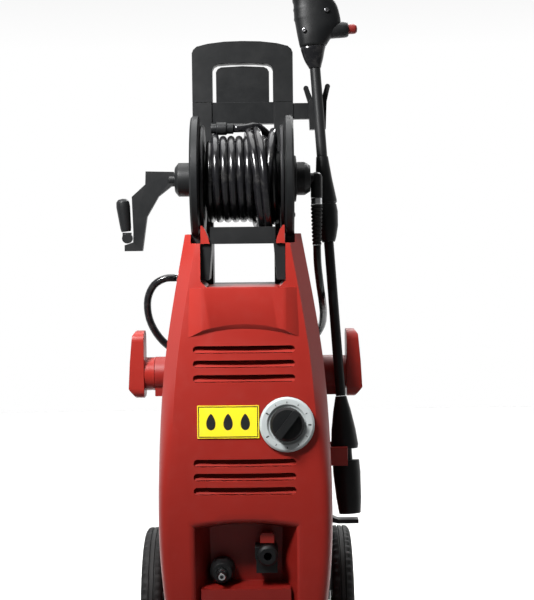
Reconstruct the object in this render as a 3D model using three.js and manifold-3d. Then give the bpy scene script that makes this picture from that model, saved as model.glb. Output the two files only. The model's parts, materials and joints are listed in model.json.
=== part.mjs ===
// A wheeled pressure washer: moulded body, hose reel with a crank, telescopic handle, spray gun
// with its lance in a holder on the right, cord hooks on both sides. Millimetres, +Z up, front
// towards -Y. The origin is on the floor, on the underside of the foot's keel, between the wheels.
import * as THREE from "three";
import { mergeVertices } from "three/addons/utils/BufferGeometryUtils.js";
import Module from "manifold-3d";

const wasm = await Module();
wasm.setup();

// ---- driving dimensions -------------------------------------------------------------------------
const GAP = 0.3; // between pieces that touch
const WALL = 4; // thickness of the moulded covers

// body: half width at each height, from the bottom edge to the top of the legs
const BODY_SIDE = new THREE.SplineCurve(
  [[45, 91], [110, 101], [170, 109.5], [230, 115.6], [295, 117.6], [392, 115.2], [482, 108.8],
    [555, 98.8], [664, 79.5]].map(([z, halfWidth]) => new THREE.Vector2(z, halfWidth)),
);
const BODY_BOTTOM = 45;
const BODY_TOP = 664;
const SEAM_Y = 30; // where the front and rear covers meet
const REAR_Y = 112;
const FRONT_Y_LOW = -144.8; // front face at the body's bottom
const FRONT_LEAN = 0.12; // how far the front leans back for each millimetre of height
const FRONT_CROWN = 5; // how far the front face bows forward at its middle
const SIDE_BEVEL = 18; // width of the bevel beside the front face
const SIDE_BEVEL_DEPTH = 26;
const SIDE_BEVEL_STEPS = 6;
const ROUND_BELOW = 470; // the bevel turns into a round corner from this height down
const ROUND_OVER = 150;
const BODY_LEVELS = 22;
const LEG_GAP_BOTTOM = 593; // floor of the opening between the legs
const LEG_INNER = 57.6; // inner side of each red leg
const LEG_SHOULDER = 652; // top of the leg in front of the reel's side plate

// reel
const REEL = new THREE.Vector3(0, -5, 740);
const PLATE_INNER = 57.6; // side plates, from the middle
const PLATE_OUTER = 70.3;
const PLATE_RADIUS = 88;
const DRUM_CORE_RADIUS = 38.5;
const DRUM_FLANGE_RADIUS = 75;
const WINDING_HALF_WIDTH = 51.5;
const HOSE_RADIUS = 5.5;
const WINDING_RADIUS = 60.8; // neat layers
const LOOSE_WINDING_RADIUS = 72; // loose turns on the right half

// handle and its fixed frame
const RAIL_INNER = 45;
const RAIL_OUTER = 73;
const RAIL_FRONT_Y = 83.5;
const RAIL_BACK_Y = 112;
const SLEEVE_BOTTOM = 560;
const CROSSBAR_BOTTOM = 823;
const CROSSBAR_TOP = 854;
const HANDLE_OPENING_TOP = 910;
const HANDLE_TOP = 942;
const HANDLE_TUBE_RADIUS = 8;
const HANDLE_TUBE_BOTTOM = 604;

// wheels
const AXLE = new THREE.Vector3(0, 90, 115);
const AXLE_RADIUS = 7;
const WHEEL_RADIUS = 115;
const WHEEL_INNER = 120;
const WHEEL_WIDTH = 31;
const RIM_RADIUS = 84;

// cord hooks
const HOOK_Y = 55;
const HOOK_Z = 463.5;
const HOOK_STUB_RADIUS = 24.5;
const HOOK_SPLIT = 130; // where the turning half meets the fixed half
const HOOK_PLATE_INNER = 144.5;
const HOOK_PLATE_OUTER = 166.7;

// connectors in the front recess
const OUTLET = new THREE.Vector3(29.3, -62, 234);
const INLET = new THREE.Vector3(-32.3, -62, 208.5);
const RECESS_BACK_Y = -64;

// control knob on the front face
const KNOB_X = 57;
const KNOB_Z = 409.5;
const BEZEL_RADIUS = 37;
const KNOB_RADIUS = 23.3;

// lance: a straight line from the nozzle's groove up to the gun
const LANCE_GROOVE = new THREE.Vector3(140.1, 0, 351.6);
const LANCE_UP = new THREE.Vector3(-0.064, 0.1222, 0.9904).normalize();
const LANCE_TUBE_RADIUS = 7;

// ---- materials ----------------------------------------------------------------------------------
const look = (color, roughness, metalness = 0) => ({ color, roughness, metalness });
const RED = look(0xb4261f, 0.45);
const DARK_RED = look(0x8f1d1b, 0.5);
const BLACK = look(0x1c1d1e, 0.5);
const SOFT_BLACK = look(0x161616, 0.8);
const GLOSS_BLACK = look(0x0c0c0d, 0.25);
const STEEL = look(0xb9bcc0, 0.3, 1);
const CASTING = look(0x8d9092, 0.5, 0.9);
const YELLOW = look(0xf2dc1e, 0.5);
const PALE_GREY = look(0xdfe6e4, 0.45);

// ---- solids -------------------------------------------------------------------------------------
const X = new THREE.Vector3(1, 0, 0);
const Y = new THREE.Vector3(0, 1, 0);
const Z = new THREE.Vector3(0, 0, 1);
const minus = (v) => v.clone().negate();
const EXTRUDE_BASIS = {
  x: new THREE.Matrix4().makeBasis(Y, Z, X),
  y: new THREE.Matrix4().makeBasis(X, Z, minus(Y)),
  z: new THREE.Matrix4(),
};
const TURN_BASIS = {
  x: new THREE.Matrix4().makeBasis(Y, X, minus(Z)),
  y: new THREE.Matrix4(),
  z: new THREE.Matrix4().makeBasis(X, Z, minus(Y)),
};

/** A closed mesh as a solid; its faces are turned outwards whichever way they ran. */
function toSolid(geometry) {
  const bare = geometry.index ? geometry.toNonIndexed() : geometry.clone();
  bare.deleteAttribute("normal");
  bare.deleteAttribute("uv");
  const merged = mergeVertices(bare, 1e-4);
  const at = (i) => new THREE.Vector3().fromBufferAttribute(merged.attributes.position, i);
  const triangles = [];
  let volume = 0;
  for (let i = 0; i < merged.index.count; i += 3) {
    const [a, b, c] = [0, 1, 2].map((k) => merged.index.getX(i + k));
    if (a !== b && b !== c && c !== a) {
      triangles.push([a, b, c]);
      volume += at(a).dot(at(b).cross(at(c)));
    }
  }
  const triVerts = new Uint32Array(triangles.flatMap(([a, b, c]) => (volume < 0 ? [a, c, b] : [a, b, c])));
  const vertProperties = new Float32Array(merged.attributes.position.array);
  return new wasm.Manifold(new wasm.Mesh({ numProp: 3, vertProperties, triVerts }));
}

function toGeometry(solid) {
  const mesh = solid.getMesh();
  const geometry = new THREE.BufferGeometry();
  geometry.setAttribute("position", new THREE.BufferAttribute(mesh.vertProperties, 3));
  geometry.setIndex(new THREE.BufferAttribute(mesh.triVerts, 1));
  geometry.computeVertexNormals();
  return geometry;
}

const union = (...solids) => solids.reduce((a, b) => a.add(b));
const cut = (solid, ...tools) => tools.reduce((a, b) => a.subtract(b), solid);
const mirrored = (solid) => solid.scale([-1, 1, 1]);

function block(x0, x1, y0, y1, z0, z1) {
  const box = new THREE.BoxGeometry(x1 - x0, y1 - y0, z1 - z0);
  return toSolid(box.translate((x0 + x1) / 2, (y0 + y1) / 2, (z0 + z1) / 2));
}

const outline = (points) => new THREE.Shape(points.map(([a, b]) => new THREE.Vector2(a, b)));

/** A flat outline made solid along an axis: (y, z) along x, (x, z) along y, (x, y) along z. */
function prism(points, axis, from, to) {
  const solid = new THREE.ExtrudeGeometry(outline(points), { depth: to - from, bevelEnabled: false });
  solid.translate(0, 0, axis === "y" ? -to : from);
  return toSolid(solid.applyMatrix4(EXTRUDE_BASIS[axis]));
}

/** A profile of [radius, place along the axis], turned about an axis through centre. */
function turned(profile, axis, centre = [0, 0, 0], segments = 16) {
  const points = profile.map(([radius, along]) => new THREE.Vector2(radius, along));
  const solid = new THREE.LatheGeometry(points, segments);
  return toSolid(solid.applyMatrix4(TURN_BASIS[axis]).translate(...centre));
}

const rod = (radius, from, to, axis, centre, segments) =>
  turned([[0, from], [radius, from], [radius, to], [0, to]], axis, centre, segments);

/**
 * A skin through flat outlines of the same number of points; place(i, point) puts them in space.
 * Each end is closed by strips from the first half of the outline to the second.
 */
function loft(outlines, place) {
  const count = outlines[0].length;
  const last = outlines.length - 1;
  const ring = outlines.map((points, i) => points.map((p) => place(i, p)));
  const corners = [];
  for (let i = 0; i < last; i++) {
    for (let k = 0; k < count; k++) {
      const next = (k + 1) % count;
      corners.push(ring[i][k], ring[i][next], ring[i + 1][next]);
      corners.push(ring[i][k], ring[i + 1][next], ring[i + 1][k]);
    }
  }
  const [bottom, top] = [ring[0], ring[last]];
  for (let i = 0, j = count - 1; i + 1 < j; i++, j--) {
    corners.push(bottom[j], bottom[i + 1], bottom[i], top[i], top[i + 1], top[j]);
    if (i + 1 < j - 1) {
      corners.push(bottom[j], bottom[j - 1], bottom[i + 1], top[i + 1], top[j - 1], top[j]);
    }
  }
  return toSolid(new THREE.BufferGeometry().setFromPoints(corners));
}

/** A round tube along a smooth curve through points. */
function pipe(points, radius, sides, steps) {
  const section = Array.from({ length: sides }, (_, k) => {
    const angle = (2 * Math.PI * k) / sides;
    return [radius * Math.cos(angle), radius * Math.sin(angle)];
  });
  const extrudePath = new THREE.CatmullRomCurve3(points.map((p) => new THREE.Vector3(...p)));
  return toSolid(new THREE.ExtrudeGeometry(outline(section), { steps, bevelEnabled: false, extrudePath }));
}

/** Points of a rectangle with round corners, centred on (cx, cy). */
function roundedRectangle(cx, cy, halfX, halfY, radius, arcSteps = 3) {
  const points = [];
  for (const [sx, sy, start] of [[1, 1, 0], [-1, 1, 1], [-1, -1, 2], [1, -1, 3]]) {
    for (let k = 0; k <= arcSteps; k++) {
      const angle = ((start + k / arcSteps) * Math.PI) / 2;
      points.push([
        cx + sx * (halfX - radius) + radius * Math.cos(angle),
        cy + sy * (halfY - radius) + radius * Math.sin(angle),
      ]);
    }
  }
  return points;
}

// ---- the assembly -------------------------------------------------------------------------------
const washer = new THREE.Group();
washer.name = "pressure_washer";

function add(name, solid, { color, roughness, metalness }, parent = washer) {
  const material = new THREE.MeshStandardMaterial({ color, roughness, metalness });
  const mesh = new THREE.Mesh(toGeometry(solid), material);
  mesh.name = name;
  parent.add(mesh);
}

/** A piece made for the right side, and its mirror image on the left. */
function addPair(name, solid, finish) {
  add(`${name}_right`, solid, finish);
  add(`${name}_left`, mirrored(solid), finish);
}

// ---- body covers --------------------------------------------------------------------------------
const frontY = (z) => FRONT_Y_LOW + FRONT_LEAN * (z - BODY_BOTTOM);

/** Front half of a level section: straight sides, bevel or round corner, crowned front. */
function frontOutline(z, halfWidth, inset) {
  const edge = halfWidth - inset;
  const flat = edge - SIDE_BEVEL;
  const front = frontY(z) + inset;
  const cornerY = front + FRONT_CROWN;
  const sideY = cornerY + SIDE_BEVEL_DEPTH;
  const roundness = THREE.MathUtils.clamp((ROUND_BELOW - z) / ROUND_OVER, 0, 1);
  const middle = new THREE.Vector2(
    edge - (SIDE_BEVEL / 2) * (1 - roundness),
    cornerY + (SIDE_BEVEL_DEPTH / 2) * (1 - roundness),
  );
  const side = new THREE.QuadraticBezierCurve(
    new THREE.Vector2(edge, sideY), middle, new THREE.Vector2(flat, cornerY));
  const half = [[edge, SEAM_Y], ...side.getPoints(SIDE_BEVEL_STEPS).map(({ x, y }) => [x, y])];
  for (const share of [0.75, 0.5, 0.25]) {
    half.push([flat * share, front + FRONT_CROWN * share ** 2]);
  }
  return [...half, [0, front], ...half.toReversed().map(([x, y]) => [-x, y])];
}

/** Rear half of a level section, with a round corner. */
function rearOutline(halfWidth, inset, frontEdge, backEdge) {
  const edge = halfWidth - 1.5 - inset;
  const radius = 22 - inset;
  const half = [[edge, frontEdge]];
  for (let k = 0; k <= 4; k++) {
    const angle = (k / 4) * (Math.PI / 2);
    half.push([edge - radius * (1 - Math.cos(angle)), backEdge - inset - radius * (1 - Math.sin(angle))]);
  }
  return [...half, ...half.toReversed().map(([x, y]) => [-x, y])];
}

const LEVELS = BODY_SIDE.getSpacedPoints(BODY_LEVELS);

function bodyHalf(outlineAt, low, high) {
  const levels = LEVELS.map(({ x: z, y: halfWidth }) => ({ z, halfWidth }))
    .filter(({ z }) => z > low + 3 && z < high - 3);
  const atHeight = (z) => {
    const above = Math.max(1, LEVELS.findIndex((p) => p.x >= z - 1e-6));
    const [a, b] = [LEVELS[above - 1], LEVELS[above]];
    return { z, halfWidth: THREE.MathUtils.lerp(a.y, b.y, (z - a.x) / (b.x - a.x)) };
  };
  const all = [atHeight(low), ...levels, atHeight(high)];
  return loft(all.map(outlineAt), (i, [x, y]) => new THREE.Vector3(x, y, all[i].z));
}

const frontSolid = (inset, low, high) =>
  bodyHalf(({ z, halfWidth }) => frontOutline(z, halfWidth, inset), low, high);
const rearSolid = (inset, low, high, frontEdge = SEAM_Y + GAP) =>
  bodyHalf(({ halfWidth }) => rearOutline(halfWidth, inset, frontEdge, REAR_Y), low, high);

const VENT_HALF_WIDTH = 68.5;
const VENT_HALF_HEIGHT = 5;
const VENT_HEIGHTS = [509.5, 490.3, 471, 359, 340.5, 322];

/** A vent: a long slot with round ends through the front. */
const vent = (z) => prism(
  roundedRectangle(0, z, VENT_HALF_WIDTH, VENT_HALF_HEIGHT, VENT_HALF_HEIGHT - 0.01, 3),
  "y", frontY(z) - 20, frontY(z) + 30,
);

/** The slat behind a vent, which slopes up towards the inside and rests on the wall at both ends. */
function ventSlat(z) {
  const y = frontY(z) + WALL - 0.5;
  return prism([[y, z - 4.2], [y + 1.8, z - 4.6], [y + 9, z + 0.6], [y + 9, z + 2.4], [y + 7.5, z + 2.4]],
    "x", -VENT_HALF_WIDTH - 4, VENT_HALF_WIDTH + 4);
}

/** The raised panel over the vents: flat between two side facets, its lower edge a chamfered arch. */
function upperPanel() {
  const shares = Array.from({ length: 13 }, (_, k) => k / 6 - 1);
  const ring = ({ half, topHalf, middle, drop, top, out }) => {
    const low = shares.map((s) => ({ x: s * half, z: middle - drop * s * s, out }));
    const high = shares.toReversed().map((s) => ({ x: s * topHalf, z: top, out }));
    return [...low, ...high];
  };
  const foot = ring({ half: 78, topHalf: 74, middle: 534.5, drop: 12.5, top: 592, out: -2 });
  const face = ring({ half: 58, topHalf: 58, middle: 544, drop: 9.5, top: 592, out: 4.4 });
  return loft([foot, face], (i, { x, z, out }) =>
    new THREE.Vector3(x, frontY(z) + FRONT_CROWN * (x / 82) ** 2 - out, z));
}

/** Outline of the connector recess at one depth: sloping sides and a gently arched top. */
function recessOutline(halfTop, halfBottom, bottom, corner, rise) {
  const top = [-1, -0.75, -0.5, -0.25, 0, 0.25, 0.5, 0.75,
    1].map((s) => [s * halfTop, corner + rise * (1 - s * s)]);
  return [[halfBottom, bottom], [-halfBottom, bottom], ...top];
}

function recess(grow) {
  const rings = [recessOutline(79.5 + grow, 71 + grow, 118 - grow, 279 + grow, 8),
    recessOutline(50 + grow, 47 + grow, 150 - grow, 264 + grow, 5)];
  return loft(rings, (i, [x, z]) => new THREE.Vector3(x, i === 0 ? -140 : RECESS_BACK_Y + grow, z));
}

// the knob's seat: local z points out of the leaning front face
const FACE_TILT = Math.PI / 2 - Math.atan(FRONT_LEAN);
const onFace = new THREE.Matrix4().makeRotationX(FACE_TILT)
  .setPosition(KNOB_X, frontY(KNOB_Z) + 1.2, KNOB_Z);
const faceRod = (radius, from, to, segments) =>
  rod(radius, from, to, "z", [0, 0, 0], segments).transform(onFace.elements);

function frontCover() {
  const legHollows = [1, -1].map((side) => {
    const x = [side * 72.5, side * 75.5].sort((a, b) => a - b);
    return block(x[0], x[1], -50, SEAM_Y + 1, 584, 636);
  });
  const shell = cut(frontSolid(0, BODY_BOTTOM, BODY_TOP), frontSolid(WALL, BODY_BOTTOM - 1, 588),
    ...legHollows);
  const backing = block(-120, 120, SEAM_Y - 1, SEAM_Y + 2, BODY_BOTTOM - 2, 588);
  const boss = faceRod(41, -10, -2.2, 32).intersect(frontSolid(0, BODY_BOTTOM, BODY_TOP));
  const gusset = prism([[44.6, 651.6], [54.5, 676], [56.9, 676], [56.9, LEG_SHOULDER], [60, LEG_SHOULDER],
    [60, 648], [57.7, 648], [57.7, 651.6]], "y", -66, -46);
  const slots = [57, -70.9].map((x) => union(
    block(x, x + 13.9, -200, SEAM_Y + 1, LEG_SHOULDER, 700),
    block(x, x + 13.9, -45, SEAM_Y + 1, 638, 700),
  ));
  const gap = prism([[-LEG_INNER, 700], [-LEG_INNER, LEG_GAP_BOTTOM + 8], [-LEG_INNER + 8, LEG_GAP_BOTTOM],
    [LEG_INNER - 8, LEG_GAP_BOTTOM], [LEG_INNER, LEG_GAP_BOTTOM + 8], [LEG_INNER, 700]], "y", -200,
      SEAM_Y + 1);
  const solid = cut(union(shell, boss, upperPanel()), gap, ...slots, ...VENT_HEIGHTS.map(vent), recess(0.2),
    backing,
    faceRod(BEZEL_RADIUS + GAP, -2.6, 40, 32), faceRod(19, -30, 10, 20));
  return union(solid, gusset, mirrored(gusset), ...VENT_HEIGHTS.map(ventSlat));
}

function rearCover() {
  const solid = cut(rearSolid(0, BODY_BOTTOM, 655), rearSolid(WALL, BODY_BOTTOM - 1, 552, SEAM_Y - 5));
  const vents = [320, 350, 380, 410].map((z) =>
    prism(roundedRectangle(0, z, 55, 5, 4.9, 2), "y", REAR_Y - 10, REAR_Y + 10));
  return cut(
    solid,
    block(-43.5, 43.5, 0, 200, LEG_GAP_BOTTOM, 700),
    block(-200, 200, RAIL_FRONT_Y - GAP, 200, SLEEVE_BOTTOM - GAP, 700),
    rod(9, -200, 200, "x", [0, AXLE.y, AXLE.z], 16),
    rod(12.2, REAR_Y - 12, REAR_Y + 12, "y", [-60, 0, 180]),
    ...vents,
  );
}

add("front_cover", frontCover(), RED);
add("rear_cover", rearCover(), BLACK);

// the label follows the crowned, leaning front face
function labelPlate(halfX, z0, z1, centreX) {
  const flat = 97;
  const xs = [-1, -0.5, 0, 0.5, 1].map((s) => centreX + s * halfX);
  const rise = (x) => FRONT_CROWN * (x / flat) ** 2;
  const ring = xs.map((x) => [x, rise(x) - 1.3]).concat(xs.toReversed().map((x) => [x, rise(x) - 0.4]));
  return loft([ring, ring], (i, [x, y]) => {
    const z = i === 0 ? z0 : z1;
    return new THREE.Vector3(x, y + frontY(z) - 0.5, z);
  });
}
add("label_plate", labelPlate(41.3, 392.3, 435.7, -21.7), YELLOW);

// ---- control knob -------------------------------------------------------------------------------
const knobGroup = new THREE.Group();
knobGroup.applyMatrix4(onFace);
washer.add(knobGroup);
add("switch_bezel", cut(
  turned([[0, -2.3], [BEZEL_RADIUS, -2.3], [BEZEL_RADIUS, 4.5], [BEZEL_RADIUS - 3, 7], [27, 7], [24.5, 4],
    [0, 4]],
    "z", [0, 0, 0], 32),
  rod(10, -5, 10, "z"),
), PALE_GREY, knobGroup);
add("switch_knob", union(
  turned([[0, 4.4], [KNOB_RADIUS, 4.4], [KNOB_RADIUS - 1, 12], [KNOB_RADIUS - 3.5, 15], [0, 15]], "z",
    [0, 0, 0], 28),
  prism(roundedRectangle(0, 0, 5, KNOB_RADIUS - 2.5, 3), "z", 14, 27).rotate([0, 0, -38]),
  rod(6, -20, 5, "z"),
), BLACK, knobGroup);
add("switch_body", cut(
  rod(17, -44, -10.5, "z", [0, 0, 0], 20),
  rod(6.5, -30, 0, "z"),
), SOFT_BLACK, knobGroup);

// ---- connector recess ---------------------------------------------------------------------------
const outletAxis = [OUTLET.x, 0, OUTLET.z];
const inletAxis = [INLET.x, 0, INLET.z];
function connectionPanel() {
  const tray = recess(4).intersect(frontSolid(WALL + 0.5, 105, 300));
  const ledge = block(-60, 60, -122, RECESS_BACK_Y + 1, 135, 191).intersect(frontSolid(WALL + 6, 105, 300));
  const solid = union(cut(tray, recess(0)), ledge.intersect(recess(1)));
  return cut(solid, rod(11, -90, 0, "y", outletAxis, 20), rod(9, -90, 0, "y", inletAxis, 20));
}
add("connection_panel", connectionPanel(), DARK_RED);

add("outlet_coupling", cut(
  union(
    turned([[0, -112], [11, -112], [14, -109], [14, -66], [10, -66], [10, -48], [0, -48]], "y", outletAxis,
      20),
    block(OUTLET.x - 15.5, OUTLET.x + 13, -104, -68, OUTLET.z - 24, OUTLET.z - 6),
    block(OUTLET.x - 17, OUTLET.x - 10, -100, -70, OUTLET.z - 6, OUTLET.z + 10),
  ),
  rod(5.5, -120, -72, "y", outletAxis, 12),
), BLACK);
add("outlet_release_tab", prism(
  [[OUTLET.x - 10, OUTLET.z + 15], [OUTLET.x + 9, OUTLET.z + 15], [OUTLET.x + 9, OUTLET.z + 26],
    [OUTLET.x + 6.5, OUTLET.z + 29], [OUTLET.x - 7.5, OUTLET.z + 29], [OUTLET.x - 10, OUTLET.z + 26]],
  "y", -98, -78,
), RED);
add("inlet_coupling", cut(
  turned([[0, -96], [13, -96], [17.2, -88], [17.2, -70], [15, -66], [8.5, -66], [8.5, -48], [0, -48]],
    "y", inletAxis, 20),
  rod(7.5, -100, -75, "y", inletAxis, 16),
), BLACK);
add("inlet_nipple", cut(
  turned([[0, -118], [4.6, -118], [5.6, -115], [4.8, -112], [5.6, -108], [5, -103], [7.1, -99], [7.1, -75.4],
    [0, -75.4]], "y", inletAxis, 12),
  rod(2.6, -120, -90, "y", inletAxis, 10),
), STEEL);

// ---- machinery inside the covers ----------------------------------------------------------------
const MOTOR_Y = 20;
add("motor", turned([[0, 242], [48, 242], [56, 252], [56, 420], [46, 428], [18, 430], [18, 438], [0, 438]],
  "z", [0, MOTOR_Y, 0], 24), CASTING);
add("motor_fan", cut(union(
  rod(14, 440, 456, "z", [0, MOTOR_Y, 0], 20),
  ...Array.from({ length: 8 }, (_, k) => block(10, 50, -1.5, 1.5, 441, 455).rotate([0, 0, k * 45])
    .translate([0, MOTOR_Y, 0])),
), rod(5, 438, 450, "z", [0, MOTOR_Y, 0], 16)), SOFT_BLACK);
add("pump_head", union(
  prism(roundedRectangle(0, 15, 46, 40, 12), "z", 142, 241.4),
  rod(9, -47, -24, "y", [OUTLET.x, 0, OUTLET.z], 16),
  rod(9, -47, -24, "y", [INLET.x, 0, INLET.z], 16),
), CASTING);

// ---- base, foot, axle and wheels ----------------------------------------------------------------
function baseFrame() {
  const floor = prism([[-86, -132], [-70, -140], [70, -140], [86, -132], [86, 96], [74, 104], [-74, 104],
    [-86, 96]],
    "z", 30, BODY_BOTTOM - GAP);
  const pedestals = [-40, 34].map((x) => block(x, x + 6, -20, 50, 44, 141.7));
  const bearings = [-74, 60].map((x) => block(x, x + 14, 72, 98, 44, 128));
  return cut(union(floor, ...pedestals, ...bearings),
    rod(AXLE_RADIUS + GAP, -200, 200, "x", [0, AXLE.y, AXLE.z], 16));
}
add("base_frame", baseFrame(), BLACK);
const footOutline = [[-88, -134], [-76, -142], [76, -142], [88, -134], [88, -104], [70, -94], [22, -88],
  [18, 30], [-18, 30], [-22, -88], [-70, -94], [-88, -104]];
add("foot", prism(footOutline, "z", 0, 29.7), SOFT_BLACK);
add("axle", rod(AXLE_RADIUS, -(WHEEL_INNER + 30), WHEEL_INNER + 30, "x", [0, AXLE.y, AXLE.z], 16), STEEL);

const WHEEL_OUTER = WHEEL_INNER + WHEEL_WIDTH;
const tyre = turned([[RIM_RADIUS + GAP, WHEEL_INNER + 3], [104, WHEEL_INNER], [111, WHEEL_INNER + 2.5],
  [WHEEL_RADIUS, WHEEL_INNER + 9], [WHEEL_RADIUS, WHEEL_OUTER - 9], [111, WHEEL_OUTER - 2.5],
  [104, WHEEL_OUTER], [RIM_RADIUS + GAP, WHEEL_OUTER - 3], [RIM_RADIUS + GAP, WHEEL_INNER + 3]],
"x", [0, AXLE.y, AXLE.z], 28);
const rimWindows = Array.from({ length: 5 }, (_, k) => {
  const angle = (k * 2 * Math.PI) / 5;
  return rod(14, 100, 170, "x", [0, AXLE.y + 50 * Math.sin(angle), AXLE.z + 50 * Math.cos(angle)], 10);
});
const rim = cut(turned([[0, WHEEL_INNER + 1], [20, WHEEL_INNER + 1], [20, WHEEL_INNER + 14],
  [70, WHEEL_INNER + 16],
  [77, WHEEL_INNER + 5], [RIM_RADIUS, WHEEL_INNER + 5], [RIM_RADIUS, WHEEL_OUTER - 5], [77, WHEEL_OUTER - 5],
  [70, WHEEL_INNER + 21], [20, WHEEL_INNER + 21], [20, WHEEL_OUTER - 4], [0, WHEEL_OUTER - 4]],
"x", [0, AXLE.y, AXLE.z], 28), rod(AXLE_RADIUS + 0.6, 100, 170, "x", [0, AXLE.y, AXLE.z], 16), ...rimWindows);
addPair("tyre", tyre, SOFT_BLACK);
addPair("rim", rim, BLACK);

// ---- cord hooks ---------------------------------------------------------------------------------
const hookSocket = cut(
  union(
    rod(HOOK_STUB_RADIUS, 90, HOOK_SPLIT - GAP, "x", [0, HOOK_Y, HOOK_Z], 28),
    block(90, HOOK_SPLIT - GAP, HOOK_Y - 16, HOOK_Y + 16, HOOK_Z - 31, HOOK_Z - 10),
  ),
  rearSolid(-GAP, 300, 600, 0),
);
addPair("hook_socket", hookSocket, DARK_RED);
const hookPlate = prism(roundedRectangle(HOOK_Y, HOOK_Z + 14.3, 25, 47.7, 14, 4),
  "x", HOOK_PLATE_INNER, HOOK_PLATE_OUTER);
const hookTrim = prism([[HOOK_PLATE_INNER - 1, HOOK_Z - 34.5], [HOOK_PLATE_INNER + 11, HOOK_Z - 34.5],
  [HOOK_PLATE_OUTER + 0.1, HOOK_Z - 20], [HOOK_PLATE_OUTER - 2, HOOK_Z + 18],
    [HOOK_PLATE_OUTER - 5.5, HOOK_Z + 56],
  [HOOK_PLATE_OUTER - 10, HOOK_Z + 62.5], [HOOK_PLATE_INNER - 1, HOOK_Z + 62.5]], "y", 0, 120);
addPair("cord_hook", union(
  hookPlate.intersect(hookTrim),
  rod(HOOK_STUB_RADIUS - 0.6, HOOK_SPLIT, HOOK_PLATE_INNER + 2, "x", [0, HOOK_Y, HOOK_Z], 28),
), RED);

// ---- reel frame ---------------------------------------------------------------------------------
const reelAxis = [0, REEL.y, REEL.z];
function sidePlate() {
  const disc = turned([[0, PLATE_INNER], [80, PLATE_INNER], [PLATE_RADIUS, PLATE_INNER + 2.5],
    [PLATE_RADIUS, PLATE_OUTER - 2.5], [PLATE_RADIUS - 2.5, PLATE_OUTER], [81, PLATE_OUTER],
      [79, PLATE_OUTER - 5],
    [34, PLATE_OUTER - 5], [32, PLATE_OUTER], [0, PLATE_OUTER]], "x", reelAxis, 32);
  const foot = prism([[-43, 638.4], [23, 638.4], [34, 690], [-44, 690]], "x", PLATE_INNER, PLATE_OUTER);
  return cut(union(disc, foot), rod(12.7, 50, 80, "x", reelAxis));
}
addPair("reel_side_plate", sidePlate(), BLACK);

const lowerCrossbar = prism([[-44.3, 674], [-44.3, 651.4], [-LEG_INNER + GAP, 651.2], [-LEG_INNER + GAP, 602],
  [-46, 602], [-41.8, 651], [41.8, 651], [46, 602], [LEG_INNER - GAP, 602], [LEG_INNER - GAP, 651.2],
  [44.3, 651.4], [44.3, 674]], "y", -62, 10);
const CROSSBAR_CLEARANCE = 84; // round the reel's axis
add("lower_crossbar", cut(lowerCrossbar, rod(CROSSBAR_CLEARANCE, -60, 60, "x", reelAxis, 36)), BLACK);

// ---- fixed upper frame with the lance fork ------------------------------------------------------
function upperFrame() {
  const rails = [RAIL_INNER, -RAIL_OUTER].map((x) =>
    block(x, x + RAIL_OUTER - RAIL_INNER, RAIL_FRONT_Y, RAIL_BACK_Y, SLEEVE_BOTTOM, CROSSBAR_TOP));
  const crossbar = block(-RAIL_OUTER + 1, RAIL_OUTER - 1, RAIL_FRONT_Y + 2, RAIL_BACK_Y - 2,
    CROSSBAR_BOTTOM, CROSSBAR_TOP);
  const tongue = prism([[-38.5, CROSSBAR_TOP - 2], [38.5, CROSSBAR_TOP - 2], [38.5, 898], [36, 902.5],
    [31, 905],
    [0, 906.5], [-31, 905], [-36, 902.5], [-38.5, 898]], "y", RAIL_FRONT_Y + 6, RAIL_BACK_Y - 6);
  const bores = [59.5, -59.5].map((x) =>
    rod(HANDLE_TUBE_RADIUS + 0.5, SLEEVE_BOTTOM + 30, 900, "z", [x, (RAIL_FRONT_Y + RAIL_BACK_Y) / 2, 0],
      16));
  return cut(union(...rails, crossbar, tongue), ...bores);
}
add("upper_frame", upperFrame(), BLACK);

/** Arm from the fixed rail to the lance, with two prongs behind the lance's tube. */
function lanceFork() {
  const arm = block(RAIL_OUTER + GAP, 100, 85, 100, 829, 852);
  const cradle = prism([[96.5, 813], [119.5, 813], [121, 852], [119, 856], [97, 856], [95, 852]], "y", 70.3,
    96);
  const prong = (tipX, tipZ, rootX) => union(
    prism([[tipX - 3.6, tipZ], [tipX + 3.6, tipZ], [rootX + 4.5, 850], [rootX - 4.5, 850]], "y", 73, 82),
    rod(3.8, 73, 82, "y", [tipX, 0, tipZ], 12),
  );
  return union(arm, cradle, prong(91.5, 872, 99), prong(122.5, 874.5, 116));
}
add("lance_fork", lanceFork(), BLACK);

// ---- handle -------------------------------------------------------------------------------------
const railMiddleY = (RAIL_FRONT_Y + RAIL_BACK_Y) / 2;
function handleLoop() {
  const outerHalf = [[RAIL_OUTER, CROSSBAR_TOP + GAP], [RAIL_OUTER, 925], [71, 930], [66, 934.5],
    [50, 938.5], [26, HANDLE_TOP - 0.7]];
  const innerHalf = [[44, 800], [44, 901], [41.5, 906], [36, 908.7], [18, HANDLE_OPENING_TOP]];
  const bothSides = (half) => [...half, ...half.toReversed().map(([x, z]) => [-x, z])];
  const outer = bothSides(outerHalf);
  outer.splice(outerHalf.length, 0, [0, HANDLE_TOP]);
  const inner = bothSides(innerHalf);
  const loop = cut(prism(outer, "y", RAIL_FRONT_Y, RAIL_BACK_Y), prism(inner, "y", 0, 200));
  const sockets = [59.5, -59.5].map((x) => rod(HANDLE_TUBE_RADIUS + GAP, 800, 880, "z", [x, railMiddleY, 0],
    16));
  return cut(loop, ...sockets);
}
add("handle_loop", handleLoop(), BLACK);
addPair("handle_tube", rod(HANDLE_TUBE_RADIUS, HANDLE_TUBE_BOTTOM, 879.5, "z", [59.5, railMiddleY, 0], 16),
  STEEL);

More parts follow.
